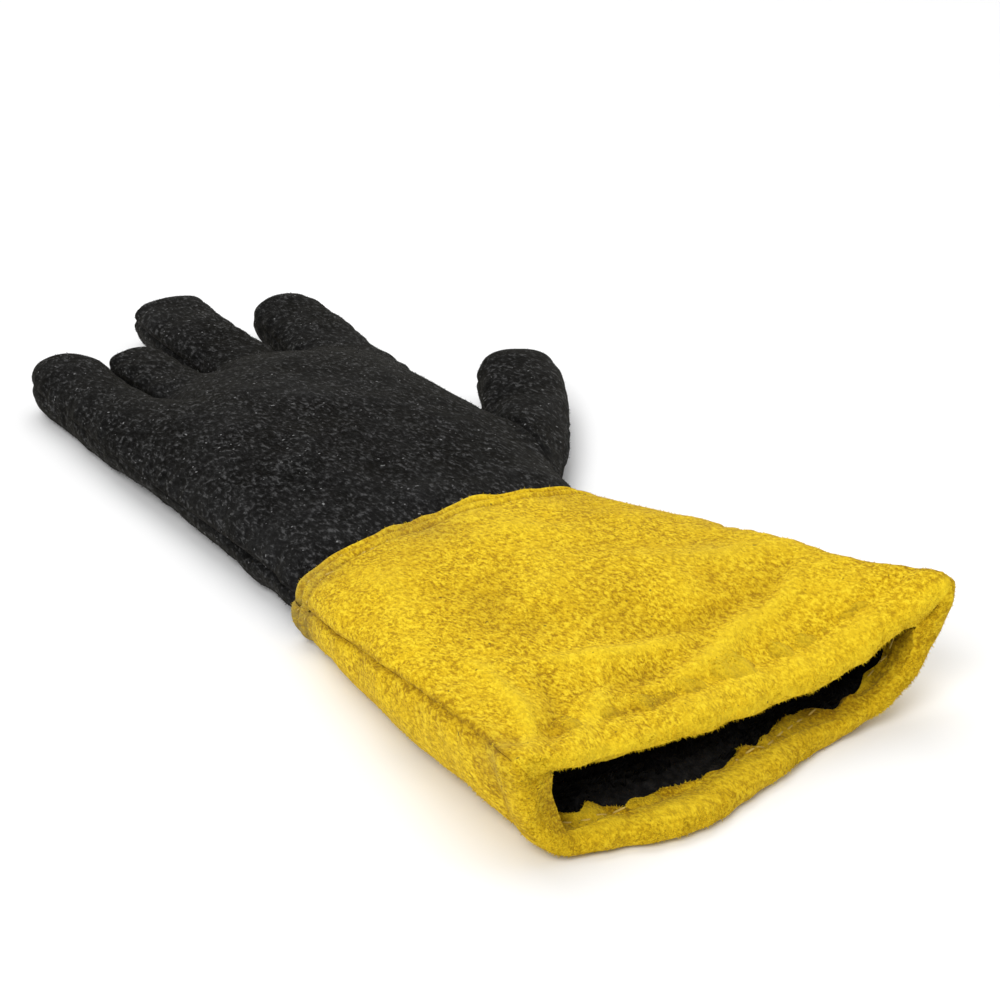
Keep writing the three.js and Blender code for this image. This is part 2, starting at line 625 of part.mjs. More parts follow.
// Cuff. Pairs of points, worked out as distance from the mouth and depth under the skin, make the
// folded wrist edge, the wall, the rolled lip and the turned hem. Each pair spans the leather.
function cuffPairs() {
  const pair = (along, outer, inner) => {
    return [new THREE.Vector2(along, outer), new THREE.Vector2(along, inner)];
  };
  const foldStart = CUFF_LENGTH - WRIST_TURN;
  const wrist = [
    { back: 0, outer: 0.7, inner: 1.3 },
    { back: 0.4, outer: 0.15, inner: 1.85 },
    { back: 1, outer: 0, inner: 2 },
  ];
  const wall = WALL_SHARES.map((share) => share * CUFF_LENGTH).reverse();
  const lip = [90, 50, 10, -30, -60, -90].map((degrees) => {
    const angle = THREE.MathUtils.degToRad(degrees);
    return [FOLD_RADIUS, HEM_SLOT / 2].map((radius) => {
      const [back, up] = [radius * Math.cos(angle), radius * Math.sin(angle)];
      return new THREE.Vector2(FOLD_RADIUS - back, FOLD_RADIUS - up);
    });
  });
  const hemDepth = 2 * FOLD_RADIUS;
  return [
    ...wrist.map(({ back, outer, inner }) => {
      return pair(CUFF_LENGTH - back * LEATHER, outer * LEATHER, inner * LEATHER);
    }),
    pair(foldStart, 0, 2 * LEATHER),
    pair(foldStart - LEATHER, 0, LEATHER),
    ...wall.filter((along) => along < foldStart - 2 * LEATHER).map((along) => pair(along, 0, LEATHER)),
    ...lip,
    pair(HEM_TURN * 0.6, hemDepth, hemDepth - LEATHER),
    pair(HEM_TURN, hemDepth, hemDepth - LEATHER),
  ];
}

const hemWave = (share) => 1 + 0.12 * Math.sin(9 * share + 0.8) + 0.06 * Math.sin(23 * share);

function cuffPanel(half) {
  const pairs = cuffPairs();
  const outline = [...pairs.map(([outer]) => outer), ...pairs.map(([, inner]) => inner).reverse()];
  const columns = Array.from({ length: KNUCKLE_COLUMNS + 1 }, (_, column) => {
    const share = column / KNUCKLE_COLUMNS;
    const spread = mix(share, (1 - Math.cos(Math.PI * share)) / 2, SEAM_CROWDING);
    return outline.map(({ x: along, y: depth }) => {
      const inHem = depth > LEATHER + HEM_SLOT / 2 && along <= HEM_TURN;
      const y = inHem ? along * mix(1, hemWave(spread), along / HEM_TURN) : along;
      const point = layerPoint(half, spread, y, depth);
      return point.setY(y - lipBow(half, point.x, y));
    });
  });
  return carried(columns, false);
}

// Lining. Each of its points goes out from the glove's middle until the leather's skin is its depth
// away, so that the wall keeps one thickness round tight corners too.
function liningRays(y) {
  const section = sectionAt(y);
  const heightAt = (curve, x) => {
    const i = Math.max(1, curve.points.findIndex((point) => point.x >= x));
    const [a, b] = [curve.points[i - 1], curve.points[i]];
    return mix(a.y, b.y, (x - a.x) / (b.x - a.x));
  };
  const middleAt = (x) => (heightAt(section.back, x) + heightAt(section.palm, x)) / 2;
  const inset = 17;
  const [low, high] = [section.size.left + inset, section.size.right - inset];
  const ends = [low, high].map((x) => new THREE.Vector2(x, middleAt(x)));
  const [left, right] = section.corners.map(({ inward, halfAngle }, i) => {
    const curve = section.back;
    const seam = pointOn(curve, i === 0 ? 0 : curve.total);
    const edge = (LEATHER + HEM_SLOT / 2) / Math.sin(halfAngle);
    return seam.addScaledVector(inward, edge).sub(ends[i]).angle();
  });
  const rays = [];
  const columns = 10;
  const spine = (i, angle) => {
    const x = mix(low, high, i / columns);
    rays.push({ start: new THREE.Vector2(x, middleAt(x)), angle });
  };
  const up = Math.PI / 2;
  const rightLow = right > Math.PI ? right - 2 * Math.PI : right;
  for (let i = 0; i <= columns; i += 1) spine(i, up);
  const fan = (from, to, count) => Array.from({ length: count }, (_, i) => mix(from, to, (i + 1) / (count + 1)));
  for (const angle of [...fan(up, rightLow, 2), rightLow, ...fan(rightLow, -up, 7)]) {
    rays.push({ start: ends[1], angle });
  }
  for (let i = columns; i >= 0; i -= 1) spine(i, -up);
  for (const angle of [...fan(3 * up, left, 5), left, ...fan(left, up, 2)]) {
    rays.push({ start: ends[0], angle });
  }
  return rays;
}

function distanceToSkin(section, point) {
  let nearest = Infinity;
  for (const { points } of [section.back, section.palm]) {
    for (let i = 1; i < points.length; i += 1) {
      const edge = points[i].clone().sub(points[i - 1]);
      const to = point.clone().sub(points[i - 1]);
      const share = clamp01(to.dot(edge) / edge.lengthSq());
      nearest = Math.min(nearest, to.addScaledVector(edge, -share).length());
    }
  }
  return nearest;
}

function liningPoint({ start, angle }, y, depth) {
  const section = sectionAt(y);
  const direction = new THREE.Vector2(Math.cos(angle), Math.sin(angle));
  let step = 0.5;
  let inner = 0;
  while (distanceToSkin(section, start.clone().addScaledVector(direction, inner + step)) > depth) inner += step;
  for (let i = 0; i < 12; i += 1) {
    step /= 2;
    if (distanceToSkin(section, start.clone().addScaledVector(direction, inner + step)) > depth) inner += step;
  }
  const point = start.clone().addScaledVector(direction, inner);
  const toBack = ease((1 + direction.y) / 2);
  const bow = mix(lipBow("palm", point.x, y), lipBow("back", point.x, y), toBack);
  return new THREE.Vector3(point.x, y - bow, point.y);
}

function lining() {
  const free = LEATHER + GAP + LINING_EASE;
  const underHand = TUCK_DEPTH + free;
  const slotEnd = HEM_TURN * 1.2;
  const tuckStart = CUFF_LENGTH - Math.max(HAND_TUCK, WRIST_TURN);
  const slotDepth = LEATHER + (HEM_SLOT - FLEECE_EDGE) / 2;
  const rows = [
    { y: FOLD_RADIUS + GAP, depth: slotDepth, wall: FLEECE_EDGE },
    { y: WALL_SHARES[0] * CUFF_LENGTH, depth: slotDepth, wall: FLEECE_EDGE },
    { y: slotEnd, depth: slotDepth, wall: FLEECE_EDGE },
    { y: slotEnd + FLEECE, depth: free, wall: FLEECE },
    ...WALL_SHARES.slice(2, -1).map((share) => ({ y: share * CUFF_LENGTH, depth: free, wall: FLEECE })),
    { y: tuckStart - 2, depth: underHand, wall: FLEECE },
    { y: CUFF_LENGTH + 0.3 * SWELL, depth: underHand, wall: FLEECE },
    { y: CUFF_LENGTH + 1.2 * SWELL, depth: free + GAP, wall: FLEECE },
    { y: CUFF_LENGTH + LINING_REACH, depth: free + GAP, wall: FLEECE },
  ];
  const rings = rows.map(({ y, depth, wall }) => {
    const rays = liningRays(y);
    return [depth, depth + wall].map((at) => rays.map((ray) => liningPoint(ray, y, at)));
  });
  const columns = rings[0][0].map((_, column) => {
    const skin = rings.map(([outer]) => outer[column]);
    const inside = rings.map(([, inner]) => inner[column]).reverse();
    return [...skin, ...inside];
  });
  return carried(columns, true);
}

const suede = (color, roughness) => new THREE.MeshStandardMaterial({ color, roughness, metalness: 0 });
const yellowSuede = suede(0xd9a514, 0.95);
const blackSuede = suede(0x2b2b2c, 0.93);
const darkFleece = suede(0x1f1f20, 1);

const glove = new THREE.Group();
function addPiece(name, geometry, material) {
  const piece = new THREE.Mesh(geometry, material.clone());
  piece.name = name;
  glove.add(piece);
}

const handHalves = hand();
const thumbHalves = thumb(handHalves);
const leatherPiece = ({ skin, normals, triangles }) => thickened(skin, normals, triangles);

addPiece("cuff_back", cuffPanel("back"), yellowSuede);
addPiece("cuff_palm", cuffPanel("palm"), yellowSuede);
addPiece("hand_back", leatherPiece(handHalves.back), blackSuede);
addPiece("hand_palm", leatherPiece(handHalves.palm), blackSuede);
addPiece("thumb_back", leatherPiece(thumbHalves.back), blackSuede);
addPiece("thumb_palm", leatherPiece(thumbHalves.palm), blackSuede);
addPiece("cuff_lining", lining(), darkFleece);

// The origin is the middle of the glove's footprint, on the ground
const box = new THREE.Box3().setFromObject(glove);
const footprint = box.getCenter(new THREE.Vector3());
glove.position.set(-footprint.x, -footprint.y, -box.min.z);

export default glove;
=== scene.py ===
"""Dresses a lined split-leather work gauntlet that lies on its palm.

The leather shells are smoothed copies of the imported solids, creased, puckered along their seams and
pressed in at their stitches. Loose fibres stand on the suede and its raw edges, and a deep pile lines
the cuff. All lengths are metres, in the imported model's frame: the mouth looks along -Y.
"""

import math
import random

import bmesh
import bpy
import numpy as np
from bpy.props import FloatProperty, FloatVectorProperty, IntProperty, PointerProperty
from bpy.types import Operator, Panel, PropertyGroup
from mathutils import Matrix, Vector, noise
from mathutils.bvhtree import BVHTree
from mathutils.kdtree import KDTree


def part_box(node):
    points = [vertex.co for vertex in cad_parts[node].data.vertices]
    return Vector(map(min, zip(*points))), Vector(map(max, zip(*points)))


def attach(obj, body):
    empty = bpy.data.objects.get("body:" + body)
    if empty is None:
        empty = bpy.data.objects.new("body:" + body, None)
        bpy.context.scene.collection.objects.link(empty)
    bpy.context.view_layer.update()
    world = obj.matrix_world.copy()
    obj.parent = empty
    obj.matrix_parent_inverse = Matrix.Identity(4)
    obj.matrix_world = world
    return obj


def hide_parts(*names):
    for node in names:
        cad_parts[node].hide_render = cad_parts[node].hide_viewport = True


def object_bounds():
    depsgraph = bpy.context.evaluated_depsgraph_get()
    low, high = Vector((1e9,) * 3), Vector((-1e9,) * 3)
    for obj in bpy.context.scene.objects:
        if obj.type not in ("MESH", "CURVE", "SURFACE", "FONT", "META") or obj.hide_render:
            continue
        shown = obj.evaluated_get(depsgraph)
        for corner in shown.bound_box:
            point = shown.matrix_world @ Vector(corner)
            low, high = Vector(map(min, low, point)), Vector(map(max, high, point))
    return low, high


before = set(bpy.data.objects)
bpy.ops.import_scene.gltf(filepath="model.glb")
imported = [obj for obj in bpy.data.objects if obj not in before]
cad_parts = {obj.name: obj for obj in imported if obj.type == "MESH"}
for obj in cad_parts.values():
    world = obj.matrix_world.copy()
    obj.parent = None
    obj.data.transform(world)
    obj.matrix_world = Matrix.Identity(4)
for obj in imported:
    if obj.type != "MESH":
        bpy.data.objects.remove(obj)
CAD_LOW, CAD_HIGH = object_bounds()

bl_info = {
    "name": "Work gauntlet",
    "version": (1, 0, 0),
    "blender": (4, 5, 0),
    "location": "3D View > Sidebar > Gauntlet",
    "description": "Suede, stitches, pile and a plain stage for a lined leather gauntlet",
    "category": "Object",
}

MM = 0.001
CUFF_LOW, CUFF_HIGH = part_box("cuff_palm")
WRIST_Y = CUFF_HIGH.y
MOUTH_Y = WRIST_Y - 127 * MM  # the mouth's corners
MOUTH_X = (CUFF_LOW.x + CUFF_HIGH.x) / 2  # middle of the mouth
HEM_ROW = 9.5 * MM  # hem stitches, behind the lip
HEM_DEPTH = 22 * MM  # the hem's gathers reach this far behind the lip
WRIST_ROWS = (2.6 * MM, 6.8 * MM)  # stitch rows, before the cuff's wrist edge
GROUND = 1.5 * MM  # leather lower than this lies on the floor

# Facing walls of a seam are drawn together: wholly within SEAM_TOUCH, partly within SEAM_REACH.
SEAM_TOUCH, SEAM_REACH = 1.7 * MM, 2.6 * MM
SEAM_SHUT = 1.0 * MM  # walls closer than this count as the seam
# At the mouth's corners that goes CORNER_REACH further and pulls harder.
CORNER_REACH, CORNER_EASE = 2.4 * MM, 12 * MM
CORNER_START, CORNER_LONG = 4 * MM, 24 * MM
SEAM_CLEAR = 8 * MM  # nearer to a seam than this, the pulls on the cuff's panels fade out

CUFF_PANELS = ("suede_cuff_back", "suede_cuff_palm")

# Creases pressed into the cuff's back panel. x, y: from the middle of the mouth, in millimetres.
# run: half length, wide: half width, rise: height. lean: degrees from +X.
CUFF_CREASES = [
    {"x": -49, "y": 24, "lean": 74, "run": 20, "wide": 2.6, "rise": 1.9},
    {"x": -41, "y": 20, "lean": 60, "run": 17, "wide": 3.0, "rise": -1.9},
    {"x": -33, "y": 15, "lean": 40, "run": 15, "wide": 2.6, "rise": 1.3},
    {"x": -14, "y": 33, "lean": -10, "run": 26, "wide": 3.0, "rise": 1.4},
    {"x": -12, "y": 23, "lean": 4, "run": 20, "wide": 3.4, "rise": -1.1},
    {"x": 12, "y": 24, "lean": 24, "run": 22, "wide": 3.2, "rise": 1.7},
    {"x": 26, "y": 36, "lean": 8, "run": 22, "wide": 3.6, "rise": -1.3},
    {"x": 34, "y": 30, "lean": 20, "run": 16, "wide": 2.8, "rise": 1.2},
    {"x": 40, "y": 56, "lean": -20, "run": 20, "wide": 5.0, "rise": 0.8},
    {"x": -28, "y": 66, "lean": 35, "run": 20, "wide": 5.0, "rise": -0.8},
    {"x": -40, "y": 94, "lean": 78, "run": 18, "wide": 3.5, "rise": 0.8},
]
# Grey handling marks on the gold suede. x, y, z: from the middle of the mouth, in millimetres.
HANDLING_MARKS = [
    {"x": -47, "y": 126, "z": 6, "size": 11, "weight": 1.0},
    {"x": -44, "y": 124, "z": 17, "size": 8, "weight": 0.6},
    {"x": -14, "y": 126, "z": 27, "size": 16, "weight": 0.35},
    {"x": 37, "y": 62, "z": 22, "size": 6, "weight": 0.5},
    {"x": -58, "y": 60, "z": 2, "size": 7, "weight": 0.4},
    {"x": -63, "y": 12, "z": 24, "size": 6, "weight": 0.3},
]

# Pulls on the cuff's panels. by: how far. x, y: their middle, from the middle of the mouth.
# wide, long: their half widths along X and Y. All in millimetres.
SIDE_WALLS = {"x": 62, "taper": 0.1, "wide": 14}
SIDE_PULL = {"by": 1.8, "y": 70, "long": 36}
WRIST_PULL = {"by": 1.6, "before": 2, "long": 7}
LEFT_FOLD = {"by": 4.5, "x": -62, "wide": 10, "behind": 3, "long": 9}
RIGHT_CORNER = {"by": (3.2, 1.2, 3.4), "x": 66, "wide": 17, "long": 24, "high": 24}
RIGHT_ARCH = {"by": 1.6, "x": 46, "wide": 22, "long": 26, "within": 40}
LIP_LIFT = {"by": 1.3, "behind": 4, "long": 9}
LIP_WAVE = {"by": 4.2, "inner_behind": 15, "inner_long": 5, "outer_long": 6, "outer_share": 0.25}
PALM_HEM = {"by": 4.5, "x": 46, "wide": 30, "behind": 5, "long": 9, "clear": 10}

# Loose fibres and hairs: how many on each piece.
PILE_COUNT = 15000
GOLD_COUNTS = {"suede_cuff_back": 19000, "suede_cuff_palm": 16000}
BLACK_COUNTS = {
    "suede_hand_back": 15000,
    "suede_hand_palm": 8000,
    "suede_thumb_back": 1600,
    "suede_thumb_palm": 1200,
}


class GAUNTLET_PG_sizes(PropertyGroup):
    """Sizes of the leather's relief, the stitches and the fibres."""

    nap_depth: FloatProperty(
        name="Nap depth", description="Relief of the suede's nap", default=0.0009, unit="LENGTH"
    )
    lump_depth: FloatProperty(
        name="Lump depth",
        description="Soft unevenness of the leather", default=0.0011, unit="LENGTH",
    )
    pucker_depth: FloatProperty(
        name="Pucker depth", description="Gathers beside the seams", default=0.0009, unit="LENGTH"
    )
    stitch_length: FloatProperty(
        name="Stitch length",
        description="Visible length of a stitch", default=0.0034, unit="LENGTH",
    )
    stitch_gap: FloatProperty(
        name="Stitch gap", description="Leather between two stitches", default=0.0012, unit="LENGTH"
    )
    thread_width: FloatProperty(
        name="Thread width", description="Thickness of the thread", default=0.00065, unit="LENGTH"
    )
    pile_length: FloatProperty(
        name="Pile length",
        description="Length of the fleece's hairs", default=0.0036, unit="LENGTH",
    )
    nap_fibre: FloatProperty(
        name="Nap fibre",
        description="Length of the suede's loose fibres", default=0.0008, unit="LENGTH",
    )
    seed: IntProperty(name="Seed", description="Start of the random scatter", default=7)


class GAUNTLET_PG_colours(PropertyGroup):
    """Colours of the leathers, the thread and the fleece."""

    gold: FloatVectorProperty(
        name="Gold suede", description="Cuff", subtype="COLOR", default=(0.68, 0.435, 0.007)
    )
    gold_light: FloatVectorProperty(
        name="Raised gold nap",
        description="Tips of the nap",
        subtype="COLOR",
        default=(0.9, 0.66, 0.025),
    )
    gold_deep: FloatVectorProperty(
        name="Deep gold nap",
        description="Between the fibres",
        subtype="COLOR",
        default=(0.37, 0.2, 0.002),
    )
    black: FloatVectorProperty(
        name="Black suede", description="Hand", subtype="COLOR", default=(0.0085, 0.0085, 0.0086)
    )
    fleece: FloatVectorProperty(
        name="Fleece", description="Lining", subtype="COLOR", default=(0.0062, 0.006, 0.006)
    )
    thread: FloatVectorProperty(
        name="Thread",
        description="Stitches of the cuff",
        subtype="COLOR",
        default=(0.66, 0.47, 0.1),
    )


class Wire:
    """A socket of a material, so that sums of values can be written as expressions."""

    def __init__(self, finish, socket):
        self.finish = finish
        self.socket = socket

    def _sum(self, operation, first, second):
        return self.finish.node("ShaderNodeMath", {"operation": operation}, {0: first, 1: second})

    def __add__(self, other):
        return self._sum("ADD", self, other)

    def __radd__(self, other):
        return self._sum("ADD", other, self)

    def __sub__(self, other):
        return self._sum("SUBTRACT", self, other)

    def __rsub__(self, other):
        return self._sum("SUBTRACT", other, self)

    def __mul__(self, other):
        return self._sum("MULTIPLY", self, other)

    def __rmul__(self, other):
        return self._sum("MULTIPLY", other, self)

    def above(self, threshold, softness):
        """0 below the threshold and 1 above it, with a soft step."""
        settings = {"interpolation_type": "SMOOTHSTEP", "clamp": True}
        limits = {1: threshold - softness, 2: threshold + softness, 3: 0.0, 4: 1.0}
        return self.finish.node("ShaderNodeMapRange", settings, {0: self, **limits})


class Finish:
    """A material made of nodes."""

    def __init__(self, name):
        self.material = bpy.data.materials.new(name)
        self.material.use_nodes = True
        self.tree = self.material.node_tree
        self.tree.nodes.clear()

    def node(self, kind, settings, inputs, output=0):
        """A node with its settings made first, then its inputs: a Wire is linked, a value is set."""
        made = self.tree.nodes.new(kind)
        for name, value in settings.items():
            setattr(made, name, value)
        for key, value in inputs.items():
            if isinstance(value, Wire):
                self.tree.links.new(value.socket, made.inputs[key])
            else:
                made.inputs[key].default_value = value
        return Wire(self, made.outputs[output]) if made.outputs else None

    def places(self, turn=(0, 0, 0), stretch=(1, 1, 1)):
        """Object coordinates, turned and stretched."""
        here = self.node("ShaderNodeTexCoord", {}, {}, output=3)
        inputs = {"Vector": here, "Rotation": turn, "Scale": stretch}
        return self.node("ShaderNodeMapping", {}, inputs)

    def noise(self, places, scale, detail=2.0, roughness=0.5, distortion=0.0):
        inputs = {
            "Vector": places, "Scale": scale, "Detail": detail,
            "Roughness": roughness, "Distortion": distortion,
        }
        return self.node("ShaderNodeTexNoise", {}, inputs)

    def attribute(self, name):
        return self.node("ShaderNodeAttribute", {"attribute_name": name}, {}, output=2)

    def mixed(self, share, first, second):
        """A colour between two colours."""
        paint = [c if isinstance(c, Wire) else (*c, 1.0) for c in (first, second)]
        settings = {"data_type": "RGBA", "clamp_factor": True}
        return self.node("ShaderNodeMix", settings, {0: share, 6: paint[0], 7: paint[1]}, output=2)

    def close(self, colour, roughness, height=None, depth=0.001, strength=1.0, gloss=0.2, sheen=0.0):
        """Ends the material in a leather-like or thread-like surface."""
        inputs = {
            "Base Color": colour, "Roughness": roughness, "Specular IOR Level": gloss,
            "Sheen Weight": sheen, "Sheen Roughness": 0.45, "Sheen Tint": (1.0, 0.9, 0.6, 1.0),
        }
        if height is not None:
            bump = {"Strength": strength, "Distance": depth, "Height": height}
            inputs["Normal"] = self.node("ShaderNodeBump", {}, bump)
        surface = self.node("ShaderNodeBsdfPrincipled", {}, inputs)
        self.node("ShaderNodeOutputMaterial", {}, {"Surface": surface})
        return self.material


def nap_of(finish, scale):
    """Height of a suede's nap: curled grains that lean another way from patch to patch."""
    grains = []
    for turn in ((0, 0, 0.5), (0.3, 0, 1.6), (0, 0.4, 2.6)):
        places = finish.places(turn=turn, stretch=(1.0, 0.55, 1.0))
        grains.append(finish.noise(places, scale, detail=3.0, roughness=0.65, distortion=0.4))
    patches = finish.noise(finish.places(), 60.0, detail=1.0)
    others = finish.noise(finish.places(turn=(0, 0, 1)), 72.0, detail=1.0)
    first = patches.above(0.5, 0.06)
    second = others.above(0.54, 0.06)
    nap = grains[0] * (1 - first) + grains[1] * first
    return nap * (1 - second) + grains[2] * second


def gold_suede(colours, depth):
    """Golden split leather: a curled nap, cloudy colour, handling marks and a few dark specks, with
    painted shade in low places, creases, seams and inside the mouth, and painted highlight on raised
    places and along the lip.
    """
    finish = Finish("gold_suede")
    nap = nap_of(finish, 1350.0)
    clumps = finish.noise(finish.places(), 480.0, detail=2.0, roughness=0.6, distortion=0.3)
    height = nap * 0.72 + clumps * 0.28
    deep = finish.mixed(height.above(0.45, 0.07), colours.gold_deep, colours.gold)
    colour = finish.mixed(height.above(0.55, 0.06), deep, colours.gold_light)
    clouds = finish.noise(finish.places(), 24.0, detail=3.0, roughness=0.6)
    shade = finish.mixed(clouds.above(0.55, 0.2) * 0.2, colour, (0.5, 0.29, 0.006))
    # Painted shade: dark browns, still following the nap, for where the hollow attribute is high.
    low = finish.mixed(height.above(0.5, 0.07), (0.22, 0.115, 0.001), (0.46, 0.265, 0.003))
    hollow = finish.mixed(finish.attribute("hollow") * 0.85, shade, low)
    # Painted highlight towards the raised nap's colour, where the lightened attribute is high.
    pale = finish.mixed(finish.attribute("lightened") * 0.5, hollow, colours.gold_light)
    soil = finish.attribute("soil") * (0.55 + clumps.above(0.5, 0.2) * 0.4)
    marked = finish.mixed(soil, pale, (0.17, 0.13, 0.055))
    spots = finish.noise(finish.places(turn=(0.4, 0.2, 0)), 800.0, detail=0.0)
    specks = finish.mixed(spots.above(0.85, 0.015) * 0.75, marked, (0.09, 0.06, 0.012))
    return finish.close(specks, 0.88 + height * 0.1, height, depth, 0.9, gloss=0.12, sheen=0.04)


def black_suede(colours, depth):
    """Black split leather with a short nap, greyer tips and pale flecks of dust, with painted shade in
    low places and seams and painted highlight on raised places.
    """
    finish = Finish("black_suede")
    nap = nap_of(finish, 900.0)
    clumps = finish.noise(finish.places(), 360.0, detail=2.0, roughness=0.6, distortion=0.3)
    height = nap * 0.78 + clumps * 0.22
    grey = tuple(c * 7.0 for c in colours.black)
    dark = tuple(c * 0.1 for c in colours.black)
    deep = finish.mixed(height.above(0.48, 0.06), dark, colours.black)
    colour = finish.mixed(height.above(0.585, 0.07), deep, grey)
    clouds = finish.noise(finish.places(), 30.0, detail=3.0, roughness=0.6)
    lightened = finish.mixed(clouds.above(0.56, 0.2) * 0.12, colour, grey)
    # Painted shade towards near-black where the hollow attribute is high.
    hollow = finish.mixed(finish.attribute("hollow") * 0.5, lightened, dark)
    # Painted highlight towards grey where the lightened attribute is high.
    painted_highlight = finish.mixed(finish.attribute("lightened") * 0.2, hollow, grey)
    flecks = finish.noise(finish.places(turn=(0.2, 0.5, 0)), 900.0, detail=0.0)
    dust = finish.mixed(flecks.above(0.825, 0.015) * 0.6, painted_highlight, (0.3, 0.3, 0.3))
    return finish.close(dust, 0.92 + height * 0.08, height, depth, 0.85, gloss=0.06, sheen=0.02)


def fleece_cloth(colours):
    """Dark deep-pile fleece."""
    finish = Finish("dark_fleece")
    tufts = finish.noise(finish.places(), 420.0, detail=3.0, roughness=0.65)
    light = tuple(c * 3.4 for c in colours.fleece)
    colour = finish.mixed(tufts.above(0.55, 0.2), colours.fleece, light)
    return finish.close(colour, 0.96 + tufts * 0.04, tufts, 0.0016, 0.9, gloss=0.05, sheen=0.03)


def fleece_hair(colours):
    """Hairs of the fleece, greyer towards some of their tips."""
    finish = Finish("fleece_hair")
    tufts = finish.noise(finish.places(), 160.0, detail=1.0)
    light = tuple(c * 4.2 for c in colours.fleece)
    colour = finish.mixed(tufts.above(0.58, 0.15), tuple(c * 0.9 for c in colours.fleece), light)
    return finish.close(colour, 0.93 + tufts * 0.05, gloss=0.08)


def gold_fibre(colours):
    """Loose fibres of the gold suede."""
    finish = Finish("gold_fibre")
    places = finish.noise(finish.places(), 300.0, detail=2.0)
    dull = tuple(c * 0.8 for c in colours.gold)
    colour = finish.mixed(places.above(0.5, 0.15), dull, colours.gold_light)
    return finish.close(colour, 0.9 + places * 0.05, gloss=0.1)


def black_fibre(colours):
    """Loose fibres of the black suede."""
    finish = Finish("black_fibre")
    places = finish.noise(finish.places(), 300.0, detail=2.0)
    grey = tuple(c * 4.0 for c in colours.black)
    colour = finish.mixed(places.above(0.52, 0.15), tuple(c * 0.6 for c in colours.black), grey)
    return finish.close(colour, 0.9 + places * 0.05, gloss=0.08)


def thread_finish(colours):
    """Waxed thread with a twisted lay."""
    finish = Finish("gold_thread")
    twist = finish.noise(finish.places(), 900.0, detail=1.0)
    dull = tuple(c * 0.7 for c in colours.thread)
    colour = finish.mixed(twist, dull, colours.thread)
    return finish.close(colour, 0.6 + twist * 0.15, twist, 0.0002, 0.5)


def merged_copy(node):
    """A CAD node's mesh with its corners merged and its triangles joined into quads."""
    bm = bmesh.new()
    bm.from_mesh(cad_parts[node].data)
    bmesh.ops.remove_doubles(bm, verts=bm.verts, dist=1e-6)
    bmesh.ops.join_triangles(
        bm,
        faces=bm.faces,
        angle_face_threshold=math.radians(60),
        angle_shape_threshold=math.radians(100),
    )
    mesh = bpy.data.meshes.new(node + "_copy")
    bm.to_mesh(mesh)
    bm.free()
    return mesh


def smoothed(node, name, levels):
    """A new object whose mesh is a subdivided copy of a CAD node."""
    piece = bpy.data.objects.new(name, merged_copy(node))
    bpy.context.scene.collection.objects.link(piece)
    soft = piece.modifiers.new("Smooth", "SUBSURF")
    soft.levels = soft.render_levels = levels
    bpy.context.view_layer.update()
    graph = bpy.context.evaluated_depsgraph_get()
    mesh = bpy.data.meshes.new_from_object(piece.evaluated_get(graph))
    mesh.name = name
    piece.modifiers.clear()
    piece.data = mesh
    for face in mesh.polygons:
        face.use_smooth = True
    return piece


def corners_of(mesh):
    places = np.zeros(len(mesh.vertices) * 3)
    mesh.vertices.foreach_get("co", places)
    normals = np.zeros(len(mesh.vertices) * 3)
    mesh.vertices.foreach_get("normal", normals)
    return places.reshape(-1, 3), normals.reshape(-1, 3)


def tree_of(points):
    tree = KDTree(len(points))
    for i, point in enumerate(points):
        tree.insert(point, i)
    tree.balance()
    return tree


def surface_of(*pieces):
    """One search tree over the faces of several pieces."""
    places, faces = [], []
    for piece in pieces:
        shift = len(places)
        places.extend(corner.co.copy() for corner in piece.data.vertices)
        faces.extend([shift + i for i in face.vertices] for face in piece.data.polygons)
    return BVHTree.FromPolygons(places, faces)


UP, DOWN = Vector((0, 0, 1)), Vector((0, 0, -1))


def is_inside(surface, point):
    """Whether leather lies both over and under a point."""
    return all(surface.ray_cast(point, way)[0] is not None for way in (UP, DOWN))


def close_seams(pieces):
    """Draws the facing walls of neighbouring pieces together, and returns a tree of where they meet."""
    meshes = [corners_of(piece.data) for piece in pieces]
    trees = [tree_of(places) for places, _ in meshes]
    meeting = []
    for i, piece in enumerate(pieces):
        others = trees[:i] + trees[i + 1 :]
        moved = meshes[i][0].copy()
        for k, (place, normal) in enumerate(zip(*meshes[i])):
            partner, _, apart = min((tree.find(place) for tree in others), key=lambda hit: hit[2])
            extra = CORNER_REACH * bell(place[1] - MOUTH_Y - CORNER_START, CORNER_LONG)
            if apart > SEAM_REACH + extra:
                continue
            way = np.array(partner) - place
            faces_it = float(normal @ way) / max(apart, 1e-9)
            near = min(1.0, (SEAM_REACH + extra - apart) / (SEAM_REACH - SEAM_TOUCH))
            pull = 0.5 + extra / CORNER_EASE
            moved[k] += way * (pull * near * min(1.0, max(0.0, 2.2 * faces_it)))
            if apart < SEAM_SHUT:
                meeting.append(moved[k])
        piece.data.vertices.foreach_set("co", moved.ravel())
        piece.data.update()
    return tree_of(meeting)


def lip_line(piece):
    """A function that gives the Y of a cuff panel's lip at an X."""
    places, _ = corners_of(piece.data)
    steps = np.linspace(places[:, 0].min(), places[:, 0].max(), 90)
    shelf = np.clip(np.searchsorted(steps, places[:, 0]), 0, len(steps) - 1)
    known = [i for i in range(len(steps)) if (shelf == i).any()]
    lowest = [places[shelf == i, 1].min() for i in known]
    lowest = np.interp(steps, steps[known], lowest)
    return lambda x: float(np.interp(x, steps, lowest))


def set_attribute(mesh, name, values):
    attribute = mesh.attributes.new(name, "FLOAT", "POINT")
    attribute.data.foreach_set("value", np.clip(values, 0, 1).astype(np.float32))


